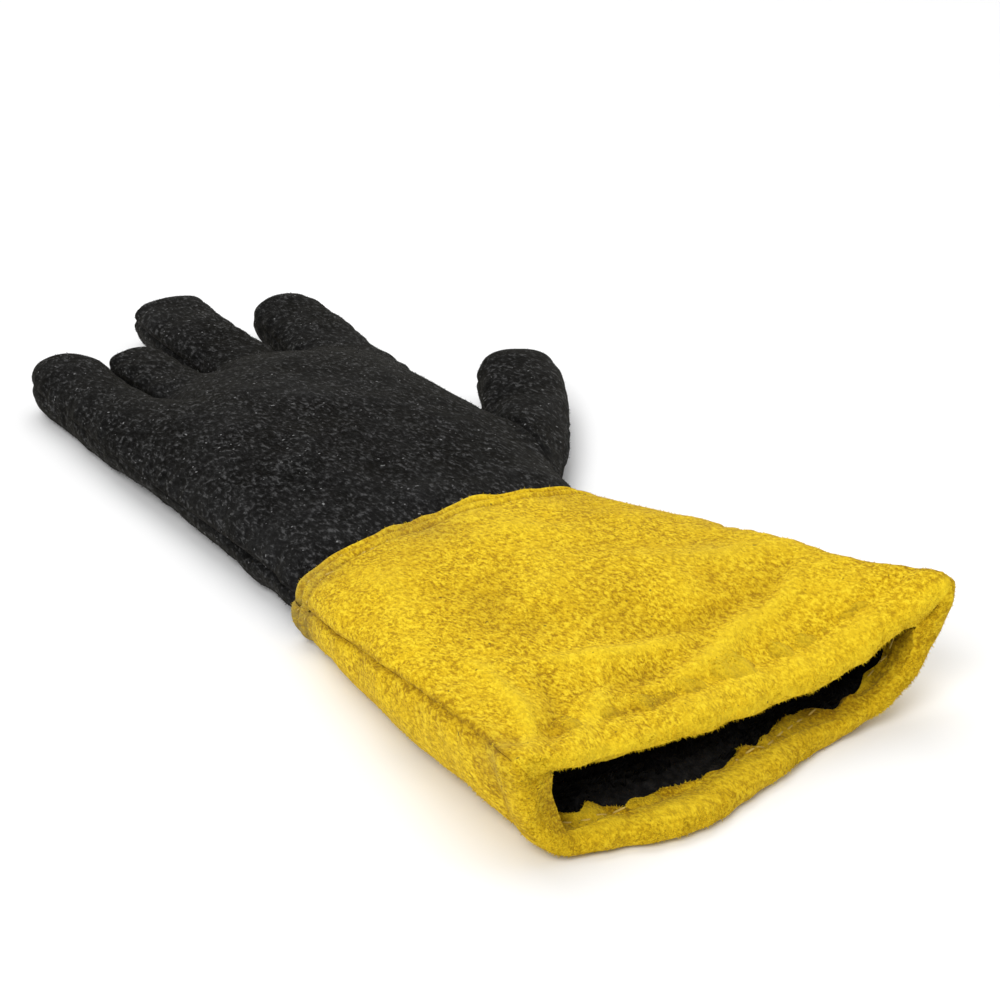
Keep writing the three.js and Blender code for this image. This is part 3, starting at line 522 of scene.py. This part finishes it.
def crease_rise(x, y):
    """Height of the cuff's creases, from the middle of the mouth in millimetres."""
    rise = 0.0
    for crease in CUFF_CREASES:
        lean = math.radians(crease["lean"])
        dx, dy = x - crease["x"], y - crease["y"]
        along = (dx * math.cos(lean) + dy * math.sin(lean)) / crease["run"]
        bow = 0.15 * crease["run"] * along * along
        aside = (dy * math.cos(lean) - dx * math.sin(lean) - bow) / crease["wide"]
        rise += crease["rise"] * math.exp(-along * along - aside * aside)
    return rise * MM


def soft_noise(point, wave, seed):
    """Noise about 0 whose lumps are one wave apart."""
    return noise.noise(Vector(point) / wave + Vector((seed, seed * 0.7, -seed)))


def bell(distance, width):
    return math.exp(-((distance / width) ** 2))


def stitch_beat(place, pitch):
    return 0.5 + 0.5 * math.cos(2 * math.pi * (place[0] + place[1] * 0.3 + place[2]) / pitch)


class Swell:
    """A soft ridge or groove beside an edge: its height, distance from the edge and half width."""

    def __init__(self, height, start, wide):
        self.height, self.start, self.wide = height * MM, start * MM, wide * MM

    def at(self, distance):
        return self.height * bell(distance - self.start, self.wide)


ROW_GROOVE = Swell(1.0, 0, 0.75)  # either side of a stitch row at the wrist
WRIST_PILLOW = Swell(0.45, 4.7, 1.2)  # between the wrist's two rows
WRIST_ROLL = Swell(0.5, 0.9, 1.2)  # the turned edge at the wrist
WRIST_NOTCH = Swell(5.0, 0, 3.6)  # the edge draws back at the side seams
WRIST_WAVE = Swell(0.9, 0, 4)
HEM_GROOVE = Swell(0.6, 9.5, 1.2)  # the hem's stitch row
HEM_ROLL = Swell(0.6, 5, 4)  # the hem's padding, on the outside
HEM_VALLEY = Swell(0.7, 11, 2.5)  # and the dip behind it
INNER_GATHERS = Swell(2.6, 12, 6)
OUTER_GATHERS = Swell(0.7, 6, 5)


def cuff_rise(place, is_inner, is_back, to_lip, pitch):
    """Rise of a cuff corner: creases, wrist rows, the pillow between them, and the hem."""
    rise = crease_rise((place[0] - MOUTH_X) / MM, (place[1] - MOUTH_Y) / MM)
    rise *= 1.0 if is_back else 0.2
    to_wrist = WRIST_Y - place[1]
    beat = stitch_beat(place, pitch)
    if is_inner:
        rise -= HEM_GROOVE.at(to_lip) * (0.3 + 0.7 * beat)
    else:
        for row in WRIST_ROWS:
            rise -= ROW_GROOVE.at(to_wrist - row) * (0.6 + 0.4 * beat)
        rise += WRIST_PILLOW.at(to_wrist)
        rise += WRIST_ROLL.at(to_wrist) * (1 + 1.5 * soft_noise(place, 6 * MM, 6.6))
        rise += HEM_ROLL.at(to_lip) - HEM_VALLEY.at(to_lip)
    if to_lip < HEM_DEPTH:
        gathers = soft_noise((place[0], 0, place[2] * 0.5), 6 * MM, 1.7) + 0.25
        rise += (INNER_GATHERS if is_inner else OUTER_GATHERS).at(to_lip) * gathers
    return rise


def cuff_move(place, facing, is_inner, is_back, to_lip, from_seam):
    """Move of a cuff corner: the wrist's edge, the side walls, the mouth's corners and the hem."""
    x, y = (place[0] - MOUTH_X) / MM, (place[1] - MOUTH_Y) / MM
    to_wrist = WRIST_Y - place[1]
    clear = min(1.0, from_seam / SEAM_CLEAR)
    move = Vector()
    move.y -= WRIST_NOTCH.at(from_seam) * bell(to_wrist, 5 * MM)
    move.y += WRIST_WAVE.at(to_wrist) * soft_noise((place[0], 0, place[2]), 9 * MM, 2.9)
    if not is_back:
        wall, pull = SIDE_WALLS, SIDE_PULL
        side = Vector((math.copysign(1.0, x), 0, 0))
        side *= bell(abs(x) - wall["x"] + wall["taper"] * y, wall["wide"])
        move += side * pull["by"] * MM * bell(y - pull["y"], pull["long"]) * clear
        pull = WRIST_PULL
        near = bell(to_wrist - pull["before"] * MM, pull["long"] * MM)
        move += side * pull["by"] * MM * near * clear
    if is_inner:
        pull = LEFT_FOLD
        near = bell(to_lip - pull["behind"] * MM, pull["long"] * MM)
        move.x += pull["by"] * MM * bell(x - pull["x"], pull["wide"]) * near
    pull = RIGHT_CORNER
    near = bell(x - pull["x"], pull["wide"]) * bell(to_lip, pull["long"] * MM)
    move += Vector(pull["by"]) * MM * (near * min(1.0, place[2] / (pull["high"] * MM)))
    pull = RIGHT_ARCH
    if to_lip < pull["within"] * MM and is_back:
        near = bell(to_lip, pull["long"] * MM)
        move.z += pull["by"] * MM * bell(x - pull["x"], pull["wide"]) * near * clear
    if to_lip < HEM_DEPTH:
        hem_move(move, place, facing, is_inner, is_back, to_lip, from_seam)
    return move


def hem_move(move, place, facing, is_inner, is_back, to_lip, from_seam):
    """Adds the hem's own moves: its lifted lip, its wavy edge and the palm's deeper fold."""
    pull = LIP_LIFT
    if is_back and facing.z < 0:
        near = bell(to_lip - pull["behind"] * MM, pull["long"] * MM)
        move.z += pull["by"] * MM * -facing.z * near
    pull = LIP_WAVE
    if is_inner:
        edge = bell(to_lip - pull["inner_behind"] * MM, pull["inner_long"] * MM)
    else:
        edge = bell(to_lip, pull["outer_long"] * MM) * pull["outer_share"]
    move.y += pull["by"] * MM * edge * soft_noise((place[0], 5 * MM, place[2]), 6 * MM, 3.9)
    pull = PALM_HEM
    if is_inner and not is_back:
        hem = min(1.0, max(0.0, (to_lip / MM - pull["behind"]) / pull["long"]))
        near = bell((place[0] - MOUTH_X) / MM - pull["x"], pull["wide"])
        clear = min(1.0, from_seam / (pull["clear"] * MM))
        move.y -= pull["by"] * MM * hem * near * clear


def soil_at(place):
    """How strongly the handling marks grey a place, from 0 to 1."""
    soil = 0.0
    for mark in HANDLING_MARKS:
        middle = Vector((mark["x"], mark["y"], mark["z"])) * MM
        middle = Vector((MOUTH_X, MOUTH_Y, 0)) + middle
        away = (Vector(place) - middle).length
        soil = max(soil, mark["weight"] * bell(away, mark["size"] * MM))
    return soil


def shape_leather(piece, shells, seams, sizes, lip=None):
    """Lumps, creases, puckers and stitch grooves, as moves of the skin along its normal."""
    mesh = piece.data
    places, normals = corners_of(mesh)
    moved = places.copy()
    # lightened holds painted highlight, hollow holds painted shade, and soil holds the real handling
    # marks.
    lightened, hollow, soil = (np.zeros(len(places)) for _ in range(3))
    pitch = sizes.stitch_length + sizes.stitch_gap
    is_back = piece.name.endswith("back")
    for i, (place, normal) in enumerate(zip(places, normals)):
        facing = Vector(normal)
        is_inner = is_inside(shells, Vector(place) + facing * 2.5 * MM)
        from_seam = seams.find(place)[2]
        near_seam = bell(from_seam, 6 * MM)
        ground = min(1.0, max(0.0, place[2] / (2.2 * MM)))
        rise = sizes.lump_depth * (
            soft_noise(place, 26 * MM, 3.1) + 0.55 * soft_noise(place, 11 * MM, 8.4)
        )
        ridge = 1 - abs(soft_noise((place[0] * 0.3, place[1], place[2] * 0.3), 6 * MM, 5.2)) * 2
        rise += sizes.pucker_depth * near_seam * ridge * (1 - math.exp(-from_seam / (1.2 * MM)))
        move = Vector()
        if lip:
            to_lip = place[1] - lip(place[0])
            rise += cuff_rise(place, is_inner, is_back, to_lip, pitch)
            move = cuff_move(place, facing, is_inner, is_back, to_lip, from_seam)
            # painted highlight along the lip, full on the upper back panel and faint on the palm panel
            lightened[i] = bell(to_lip, 1.8 * MM) * (1.0 if is_back else 0.2)
            # painted shade on the palm panel near the lip
            if not is_back:
                hollow[i] = max(hollow[i], 0.35 * bell(to_lip, 9 * MM))
            crease = crease_rise((place[0] - MOUTH_X) / MM, (place[1] - MOUTH_Y) / MM) / MM
            # painted highlight on the crease tops and painted shade in their grooves
            if is_back and not is_inner:
                lightened[i] = max(lightened[i], 0.75 * crease)
                hollow[i] = max(hollow[i], -0.25 * crease)
            # painted shade in the wrist's stitch grooves
            for row in WRIST_ROWS:
                hollow[i] = max(hollow[i], 0.9 * bell(WRIST_Y - place[1] - row, 0.55 * MM))
            soil[i] = soil_at(place)
        rise = max(-1.8 * MM, min(2.6 * MM, rise)) * (1 - 0.8 * bell(from_seam, 0.7 * MM))
        shift = facing * (-rise if is_inner else rise)
        if facing.z < -0.5 and place[2] < GROUND:
            shift.z = max(0.0, shift.z) * 0.4
        moved[i] = place + np.array(shift) * (0.3 + 0.7 * ground) + move
        # painted highlight where the skin rises
        lightened[i] = max(lightened[i], 0.5 * max(0.0, rise / MM) * (1 - near_seam))
        # painted shade where the skin sinks and along the seams
        hollow[i] = max(hollow[i], -0.4 * rise / MM, 0.8 * bell(from_seam, 1.3 * MM))
        # painted shade inside the mouth, darker further from the lip
        if lip and is_inner:
            hollow[i] = max(hollow[i], 0.9 * min(1.0, max(0.0, (to_lip / MM - 2) / 5)))
    moved[:, 2] = np.maximum(moved[:, 2], CAD_LOW.z)
    mesh.vertices.foreach_set("co", moved.ravel())
    for name, values in (("lightened", lightened), ("hollow", hollow), ("soil", soil)):
        set_attribute(mesh, name, values)
    mesh.update()


def finish_piece(piece, material, replaced=None):
    """Gives a piece its material and ties it to the glove's one body."""
    piece.data.materials.clear()
    piece.data.materials.append(material)
    if replaced:
        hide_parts(replaced)
    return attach(piece, "root")


def joined_copies(name, template, matrices):
    """One mesh with a copy of a small template mesh at every matrix."""
    corners = np.array([corner.co for corner in template.verts])
    faces = [[corner.index for corner in face.verts] for face in template.faces]
    turns = np.array([[list(row) for row in m] for m in matrices])
    places = np.einsum("mij,vj->mvi", turns[:, :3, :3], corners) + turns[:, None, :3, 3]
    count = len(corners)
    mesh = bpy.data.meshes.new(name)
    loops = [[i + k * count for i in face] for k in range(len(matrices)) for face in faces]
    mesh.from_pydata(places.reshape(-1, 3), [], loops)
    for face in mesh.polygons:
        face.use_smooth = True
    mesh.update()
    piece = bpy.data.objects.new(name, mesh)
    bpy.context.scene.collection.objects.link(piece)
    return piece


def corners_in(parts):
    return [part for part in parts if isinstance(part, bmesh.types.BMVert)]


def hair_template(bend, knee=0.55):
    """A tapered three-sided hair of length 1 and width 1 at its root. A bent one has a knee."""
    bm = bmesh.new()
    bmesh.ops.create_circle(bm, cap_ends=True, radius=0.5, segments=3)
    bmesh.ops.reverse_faces(bm, faces=bm.faces[:])
    ring, edges = bm.verts[:], bm.edges[:]
    if bend:
        grown = bmesh.ops.extrude_edge_only(bm, edges=edges)["geom"]
        ring = corners_in(grown)
        bmesh.ops.scale(bm, vec=(0.7, 0.7, 1), verts=ring)
        bmesh.ops.translate(bm, vec=(0, 0, knee), verts=ring)
        edges = [part for part in grown if isinstance(part, bmesh.types.BMEdge)]
        edges = [edge for edge in edges if all(corner in ring for corner in edge.verts)]
    tips = corners_in(bmesh.ops.extrude_edge_only(bm, edges=edges)["geom"])
    bmesh.ops.pointmerge(bm, verts=tips, merge_co=(bend, 0, 1.0))
    bmesh.ops.recalc_face_normals(bm, faces=bm.faces[:])
    bm.verts.ensure_lookup_table()
    bm.verts.index_update()
    return bm


def stitch_template():
    """A stitch of length 1 and width 1, along Y."""
    bm = bmesh.new()
    bmesh.ops.create_uvsphere(bm, u_segments=6, v_segments=6, radius=0.5)
    bmesh.ops.rotate(bm, verts=bm.verts, matrix=Matrix.Rotation(math.radians(90), 3, "X"))
    for corner in bm.verts:
        corner.co.y = math.copysign(abs(2 * corner.co.y) ** 0.6, corner.co.y) / 2
    bm.verts.ensure_lookup_table()
    bm.verts.index_update()
    return bm


def standing(place, facing, lean, length, width, spin):
    """A matrix that stands a hair on a surface."""
    up = (facing + lean).normalized()
    turn = up.to_track_quat("Z", "X").to_matrix() @ Matrix.Rotation(spin, 3, "Z")
    return Matrix.Translation(place) @ turn.to_4x4() @ Matrix.Diagonal((width, width, length, 1))


def scatter(piece, count, wanted, rng):
    """Random points of a piece's faces with their normals, where wanted says how dense they are."""
    mesh = piece.data
    weights = [face.area * wanted(face.center, face.normal) for face in mesh.polygons]
    total = sum(weights)
    chosen = rng.choices(range(len(weights)), weights=weights, k=count) if total > 0 else []
    places, normals = corners_of(mesh)
    found = []
    for index in chosen:
        face = mesh.polygons[index]
        corners = face.vertices
        shares = np.array([rng.random() + 0.05 for _ in corners])
        shares /= shares.sum()
        place = Vector(shares @ places[list(corners)])
        found.append((place, Vector(shares @ normals[list(corners)]).normalized()))
    return found


def cavity_middle(surface, x, y):
    """Height of the middle of the hollow at a place, or None."""
    heights, start = [], Vector((x, y, -0.01))
    for _ in range(12):
        hit = surface.ray_cast(start, UP)[0]
        if hit is None:
            break
        heights.append(hit.z)
        start = hit + UP * 1e-5
    gaps = [(b - a, (a + b) / 2) for a, b in zip(heights, heights[1:])]
    return max(gaps)[1] if gaps else None


def ring_on(surface, row_at, from_inside):
    """Points round the cuff on its inner or outer skin.

    row_at gives the row's Y at an X, for the palm and for the back.
    """
    row = row_at(MOUTH_X, False)
    places = [MOUTH_X + i * MM for i in range(-80, 81)]
    hollow = [x for x in places if cavity_middle(surface, x, row) is not None]
    low, high = hollow[0], hollow[-1]
    inset, steps = 15 * MM, 120
    spine = [low + inset + (high - low - 2 * inset) * i / steps for i in range(steps + 1)]
    fan = [math.radians(angle) for angle in range(88, -89, -3)]
    rays = [(x, UP, True) for x in spine]
    rays += [(spine[-1], Vector((math.cos(a), 0, math.sin(a))), a > 0.3) for a in fan]
    rays += [(x, DOWN, False) for x in reversed(spine)]
    rays += [(spine[0], Vector((-math.cos(a), 0, math.sin(a))), a > 0.3) for a in reversed(fan)]
    ring = []
    for x, way, is_back in rays:
        y = row_at(x, is_back)
        for _ in range(2):
            start = Vector((x, y, cavity_middle(surface, x, y) or 10 * MM))
            if from_inside:
                place, normal, _, _ = surface.ray_cast(start, way)
            else:
                place, normal, _, _ = surface.ray_cast(start + way * 0.1, -way)
            if place is not None:
                y = row_at(place.x, is_back)
        if place is not None:
            ring.append((place, normal))
    return ring


def stitch_matrices(ring, sizes, sink, rng):
    """Places of running stitches along a ring of points."""
    pitch = sizes.stitch_length + sizes.stitch_gap
    matrices, along, target = [], 0.0, pitch / 2
    for (a, normal_a), (b, normal_b) in zip(ring, ring[1:] + ring[:1]):
        step = (b - a).length
        while along + step >= target and step > 0:
            share = (target - along) / step
            place, normal = a.lerp(b, share), normal_a.lerp(normal_b, share).normalized()
            way = (b - a).normalized()
            side = way.cross(normal).normalized()
            turn = Matrix((side, way, normal)).transposed()
            turn = turn @ Matrix.Rotation(rng.uniform(-0.14, 0.14), 3, "Z")
            length = sizes.stitch_length * rng.uniform(0.85, 1.05)
            size = Matrix.Diagonal((sizes.thread_width, length, sizes.thread_width, 1))
            spot = place - normal * sink * rng.uniform(0.6, 1.5)
            spot += side * rng.uniform(-0.15, 0.15) * MM
            if step < 4 * MM:  # a longer step jumps over a gap in the leather
                matrices.append(Matrix.Translation(spot) @ turn.to_4x4() @ size)
            target += pitch
        along += step
    return matrices


class GAUNTLET_OT_cuff(Operator):
    """Makes the cuff's two gold suede panels"""

    bl_idname = "gauntlet.cuff"
    bl_label = "Cuff"

    def execute(self, context):
        sizes, colours = context.scene.gauntlet_sizes, context.scene.gauntlet_colours
        nodes = ("cuff_back", "cuff_palm")
        panels = [smoothed(node, "suede_" + node, 3) for node in nodes]
        seams, shells = close_seams(panels), surface_of(*panels)
        gold = gold_suede(colours, sizes.nap_depth)
        for panel, node in zip(panels, nodes):
            shape_leather(panel, shells, seams, sizes, lip_line(panel))
            finish_piece(panel, gold, node)
        return {"FINISHED"}


class GAUNTLET_OT_hand(Operator):
    """Makes the hand's back and palm, with the four fingers, and the thumb's halves"""

    bl_idname = "gauntlet.hand"
    bl_label = "Hand and thumb"

    def execute(self, context):
        sizes, colours = context.scene.gauntlet_sizes, context.scene.gauntlet_colours
        nodes = ("hand_back", "hand_palm", "thumb_back", "thumb_palm")
        pieces = [smoothed(node, "suede_" + node, 3) for node in nodes]
        seams, shells = close_seams(pieces), surface_of(*pieces)
        black = black_suede(colours, sizes.nap_depth)
        for piece, node in zip(pieces, nodes):
            shape_leather(piece, shells, seams, sizes)
            finish_piece(piece, black, node)
        return {"FINISHED"}


class GAUNTLET_OT_lining(Operator):
    """Makes the fleece lining and the hairs of its pile"""

    bl_idname = "gauntlet.lining"
    bl_label = "Fleece lining"

    def execute(self, context):
        sizes, colours = context.scene.gauntlet_sizes, context.scene.gauntlet_colours
        rng = random.Random(sizes.seed)
        cloth = smoothed("cuff_lining", "fleece_cloth", 2)
        finish_piece(cloth, fleece_cloth(colours), "cuff_lining")
        surface = surface_of(cloth)
        leather = surface_of(*(bpy.data.objects[name] for name in CUFF_PANELS))

        def wanted(place, normal):
            is_open = surface.ray_cast(place + normal * 0.3 * MM, normal, 0.06)[0] is not None
            is_free = leather.ray_cast(place + normal * 0.1 * MM, normal, 5 * MM)[0] is None
            if not (is_open and is_free) or place.y < MOUTH_Y + 9 * MM:
                return 0.0
            return 1.0 if place.y < MOUTH_Y + 45 * MM else 0.35

        hairs = []
        for place, facing in scatter(cloth, PILE_COUNT, wanted, rng):
            sway = Vector((soft_noise(place, 9 * MM, 2.2), soft_noise(place, 9 * MM, 6.1) - 0.2, 0))
            lean = sway * 1.2 + Vector([rng.uniform(-0.5, 0.5) for _ in range(3)])
            length = sizes.pile_length * rng.uniform(0.6, 1.1)
            width = rng.uniform(0.3, 0.5) * MM
            spot = place - facing * 0.2 * MM
            hairs.append(standing(spot, facing, lean, length, width, rng.uniform(0, 6)))
        pile = joined_copies("fleece_pile", hair_template(0.14), hairs)
        finish_piece(pile, fleece_hair(colours))
        return {"FINISHED"}


class GAUNTLET_OT_stitches(Operator):
    """Sews the hem and the cuff's wrist edge"""

    bl_idname = "gauntlet.stitches"
    bl_label = "Stitches"

    def execute(self, context):
        sizes, colours = context.scene.gauntlet_sizes, context.scene.gauntlet_colours
        rng = random.Random(sizes.seed + 1)
        back, palm = (bpy.data.objects[name] for name in CUFF_PANELS)
        surface = surface_of(back, palm)
        lips = {True: lip_line(back), False: lip_line(palm)}

        def hem_at(x, is_back):
            return lips[is_back](x) + HEM_ROW

        hem = ring_on(surface, hem_at, True)
        wrist = []
        for row in WRIST_ROWS:
            ring = ring_on(surface, lambda x, is_back, row=row: WRIST_Y - row, False)
            wrist += stitch_matrices(ring, sizes, 0.28 * MM, rng)
        rows = {
            "hem_stitches": stitch_matrices(hem, sizes, -0.05 * MM, rng),
            "wrist_stitches": wrist,
        }
        thread = thread_finish(colours)
        for name, matrices in rows.items():
            finish_piece(joined_copies(name, stitch_template(), matrices), thread)
        return {"FINISHED"}


def fibres_on(piece, count, wanted, wave, length_at, widths, rng):
    """Matrices of loose fibres that stand on a piece and lean with a slow swirl."""
    fibres = []
    for place, facing in scatter(piece, count, wanted, rng):
        flow = Vector((soft_noise(place, wave, 4.4), soft_noise(place, wave, 9.9), 0)) * 3
        lean = flow + Vector([rng.uniform(-1.1, 1.1) for _ in range(3)])
        length = length_at(place) * rng.uniform(0.5, 1.15)
        width = rng.uniform(*widths) * MM
        spot = place - facing * 0.12 * MM
        fibres.append(standing(spot, facing, lean, length, width, rng.uniform(0, 6)))
    return fibres


class GAUNTLET_OT_nap(Operator):
    """Grows the loose fibres of the suede and of its raw edges"""

    bl_idname = "gauntlet.nap"
    bl_label = "Nap fibres"

    def execute(self, context):
        sizes, colours = context.scene.gauntlet_sizes, context.scene.gauntlet_colours
        rng = random.Random(sizes.seed + 2)
        panels = [bpy.data.objects[name] for name in CUFF_PANELS]
        surface = surface_of(*panels)
        fibres = []
        for panel in panels:
            lip = lip_line(panel)

            def is_edge(place):
                """Whether a place is on the lip or on the hem's raw edge inside the mouth."""
                depth = (place.y - lip(place.x)) / MM
                return depth < 1.6 or 12 < depth < 17

            def wanted(place, normal):
                depth = (place.y - lip(place.x)) / MM
                if place.z < GROUND and normal.z < -0.3:
                    return 0.0
                if depth > 2 and is_inside(surface, place + normal * 1.5 * MM):
                    return 5.0 if is_edge(place) else (0.8 if depth < 12 else 0.0)
                return 6.0 if depth < 1.6 else 0.8

            def length_at(place):
                return sizes.nap_fibre * (1.35 if is_edge(place) else 1.0)

            count = GOLD_COUNTS[panel.name]
            fibres += fibres_on(panel, count, wanted, 24 * MM, length_at, (0.16, 0.3), rng)
        gold = joined_copies("gold_nap_fibres", hair_template(0), fibres)
        finish_piece(gold, gold_fibre(colours))

        def wanted_black(place, normal):
            return 0.0 if place.z < GROUND or place.y < WRIST_Y - 1 * MM else 1.0

        def length_black(place):
            return sizes.nap_fibre * 0.95

        fibres = []
        for name, count in BLACK_COUNTS.items():
            piece = bpy.data.objects[name]
            widths = (0.15, 0.28)
            fibres += fibres_on(piece, count, wanted_black, 26 * MM, length_black, widths, rng)
        black = joined_copies("black_nap_fibres", hair_template(0), fibres)
        finish_piece(black, black_fibre(colours))
        return {"FINISHED"}


class GAUNTLET_OT_stage(Operator):
    """Sets the plain floor, the soft light and the camera"""

    bl_idname = "gauntlet.stage"
    bl_label = "Stage"

    def execute(self, context):
        scene = context.scene
        bm = bmesh.new()
        bmesh.ops.create_grid(bm, x_segments=1, y_segments=1, size=6.0)
        bmesh.ops.translate(bm, verts=bm.verts, vec=(0, 0, CAD_LOW.z - 0.2 * MM))
        mesh = bpy.data.meshes.new("floor")
        bm.to_mesh(mesh)
        bm.free()
        floor = bpy.data.objects.new("floor", mesh)
        scene.collection.objects.link(floor)
        finish = Finish("pale_floor")
        grain = finish.noise(finish.places(), 6.0, detail=2.0)
        colour = finish.mixed(grain, (0.92, 0.92, 0.92), (0.94, 0.94, 0.94))
        mesh.materials.append(finish.close(colour, 0.9 + grain * 0.05))

        world = bpy.data.worlds.new("soft_room")
        world.use_nodes = True
        background = world.node_tree.nodes["Background"]
        background.inputs["Color"].default_value = (1, 1, 1, 1)
        background.inputs["Strength"].default_value = 0.46
        scene.world = world
        scene.view_settings.view_transform = "Standard"
        lamps = [
            {"name": "key", "at": (-1.1, -0.8, 1.25), "size": 0.9, "watts": 19},
            {"name": "fill", "at": (1.4, -0.7, 0.9), "size": 1.4, "watts": 5},
            {"name": "top", "at": (0.2, 0.8, 1.7), "size": 1.6, "watts": 17},
        ]
        for lamp in lamps:
            light = bpy.data.lights.new(lamp["name"], "AREA")
            light.energy, light.size = lamp["watts"], lamp["size"]
            holder = bpy.data.objects.new(lamp["name"], light)
            holder.location = lamp["at"]
            holder.rotation_euler = Vector(lamp["at"]).to_track_quat("Z", "Y").to_euler()
            scene.collection.objects.link(holder)

        azimuth, elevation, away = math.radians(-34.497), math.radians(24.626), 0.7266
        target = Vector((MOUTH_X, MOUTH_Y, 0)) + Vector((0.04626, 0.16989, 0))
        back = Vector((
            math.sin(azimuth) * math.cos(elevation),
            -math.cos(azimuth) * math.cos(elevation),
            math.sin(elevation),
        ))
        eye = bpy.data.cameras.new("camera")
        eye.lens, eye.sensor_width = 86.4, 36.0
        camera = bpy.data.objects.new("camera", eye)
        camera.location = target + back * away
        camera.rotation_euler = back.to_track_quat("Z", "Y").to_euler()
        scene.collection.objects.link(camera)
        scene.camera = camera
        return {"FINISHED"}


class GAUNTLET_PT_panel(Panel):
    """Lists the gauntlet's pieces and sizes"""

    bl_idname = "GAUNTLET_PT_panel"
    bl_label = "Gauntlet"
    bl_space_type = "VIEW_3D"
    bl_region_type = "UI"
    bl_category = "Gauntlet"

    def draw(self, context):
        layout = self.layout
        for operator in OPERATORS:
            layout.operator(operator.bl_idname)
        for group in (context.scene.gauntlet_sizes, context.scene.gauntlet_colours):
            for name in group.bl_rna.properties.keys():
                if name not in ("rna_type", "name"):
                    layout.prop(group, name)


OPERATORS = (
    GAUNTLET_OT_cuff,
    GAUNTLET_OT_hand,
    GAUNTLET_OT_lining,
    GAUNTLET_OT_stitches,
    GAUNTLET_OT_nap,
    GAUNTLET_OT_stage,
)
CLASSES = (GAUNTLET_PG_sizes, GAUNTLET_PG_colours, *OPERATORS, GAUNTLET_PT_panel)


def register():
    for cls in CLASSES:
        bpy.utils.register_class(cls)
    bpy.types.Scene.gauntlet_sizes = PointerProperty(type=GAUNTLET_PG_sizes)
    bpy.types.Scene.gauntlet_colours = PointerProperty(type=GAUNTLET_PG_colours)


def unregister():
    del bpy.types.Scene.gauntlet_colours
    del bpy.types.Scene.gauntlet_sizes
    for cls in reversed(CLASSES):
        bpy.utils.unregister_class(cls)


def main():
    register()
    bpy.ops.gauntlet.cuff()
    bpy.ops.gauntlet.hand()
    bpy.ops.gauntlet.lining()
    bpy.ops.gauntlet.stitches()
    bpy.ops.gauntlet.nap()
    bpy.ops.gauntlet.stage()


if __name__ == "__main__":
    main()
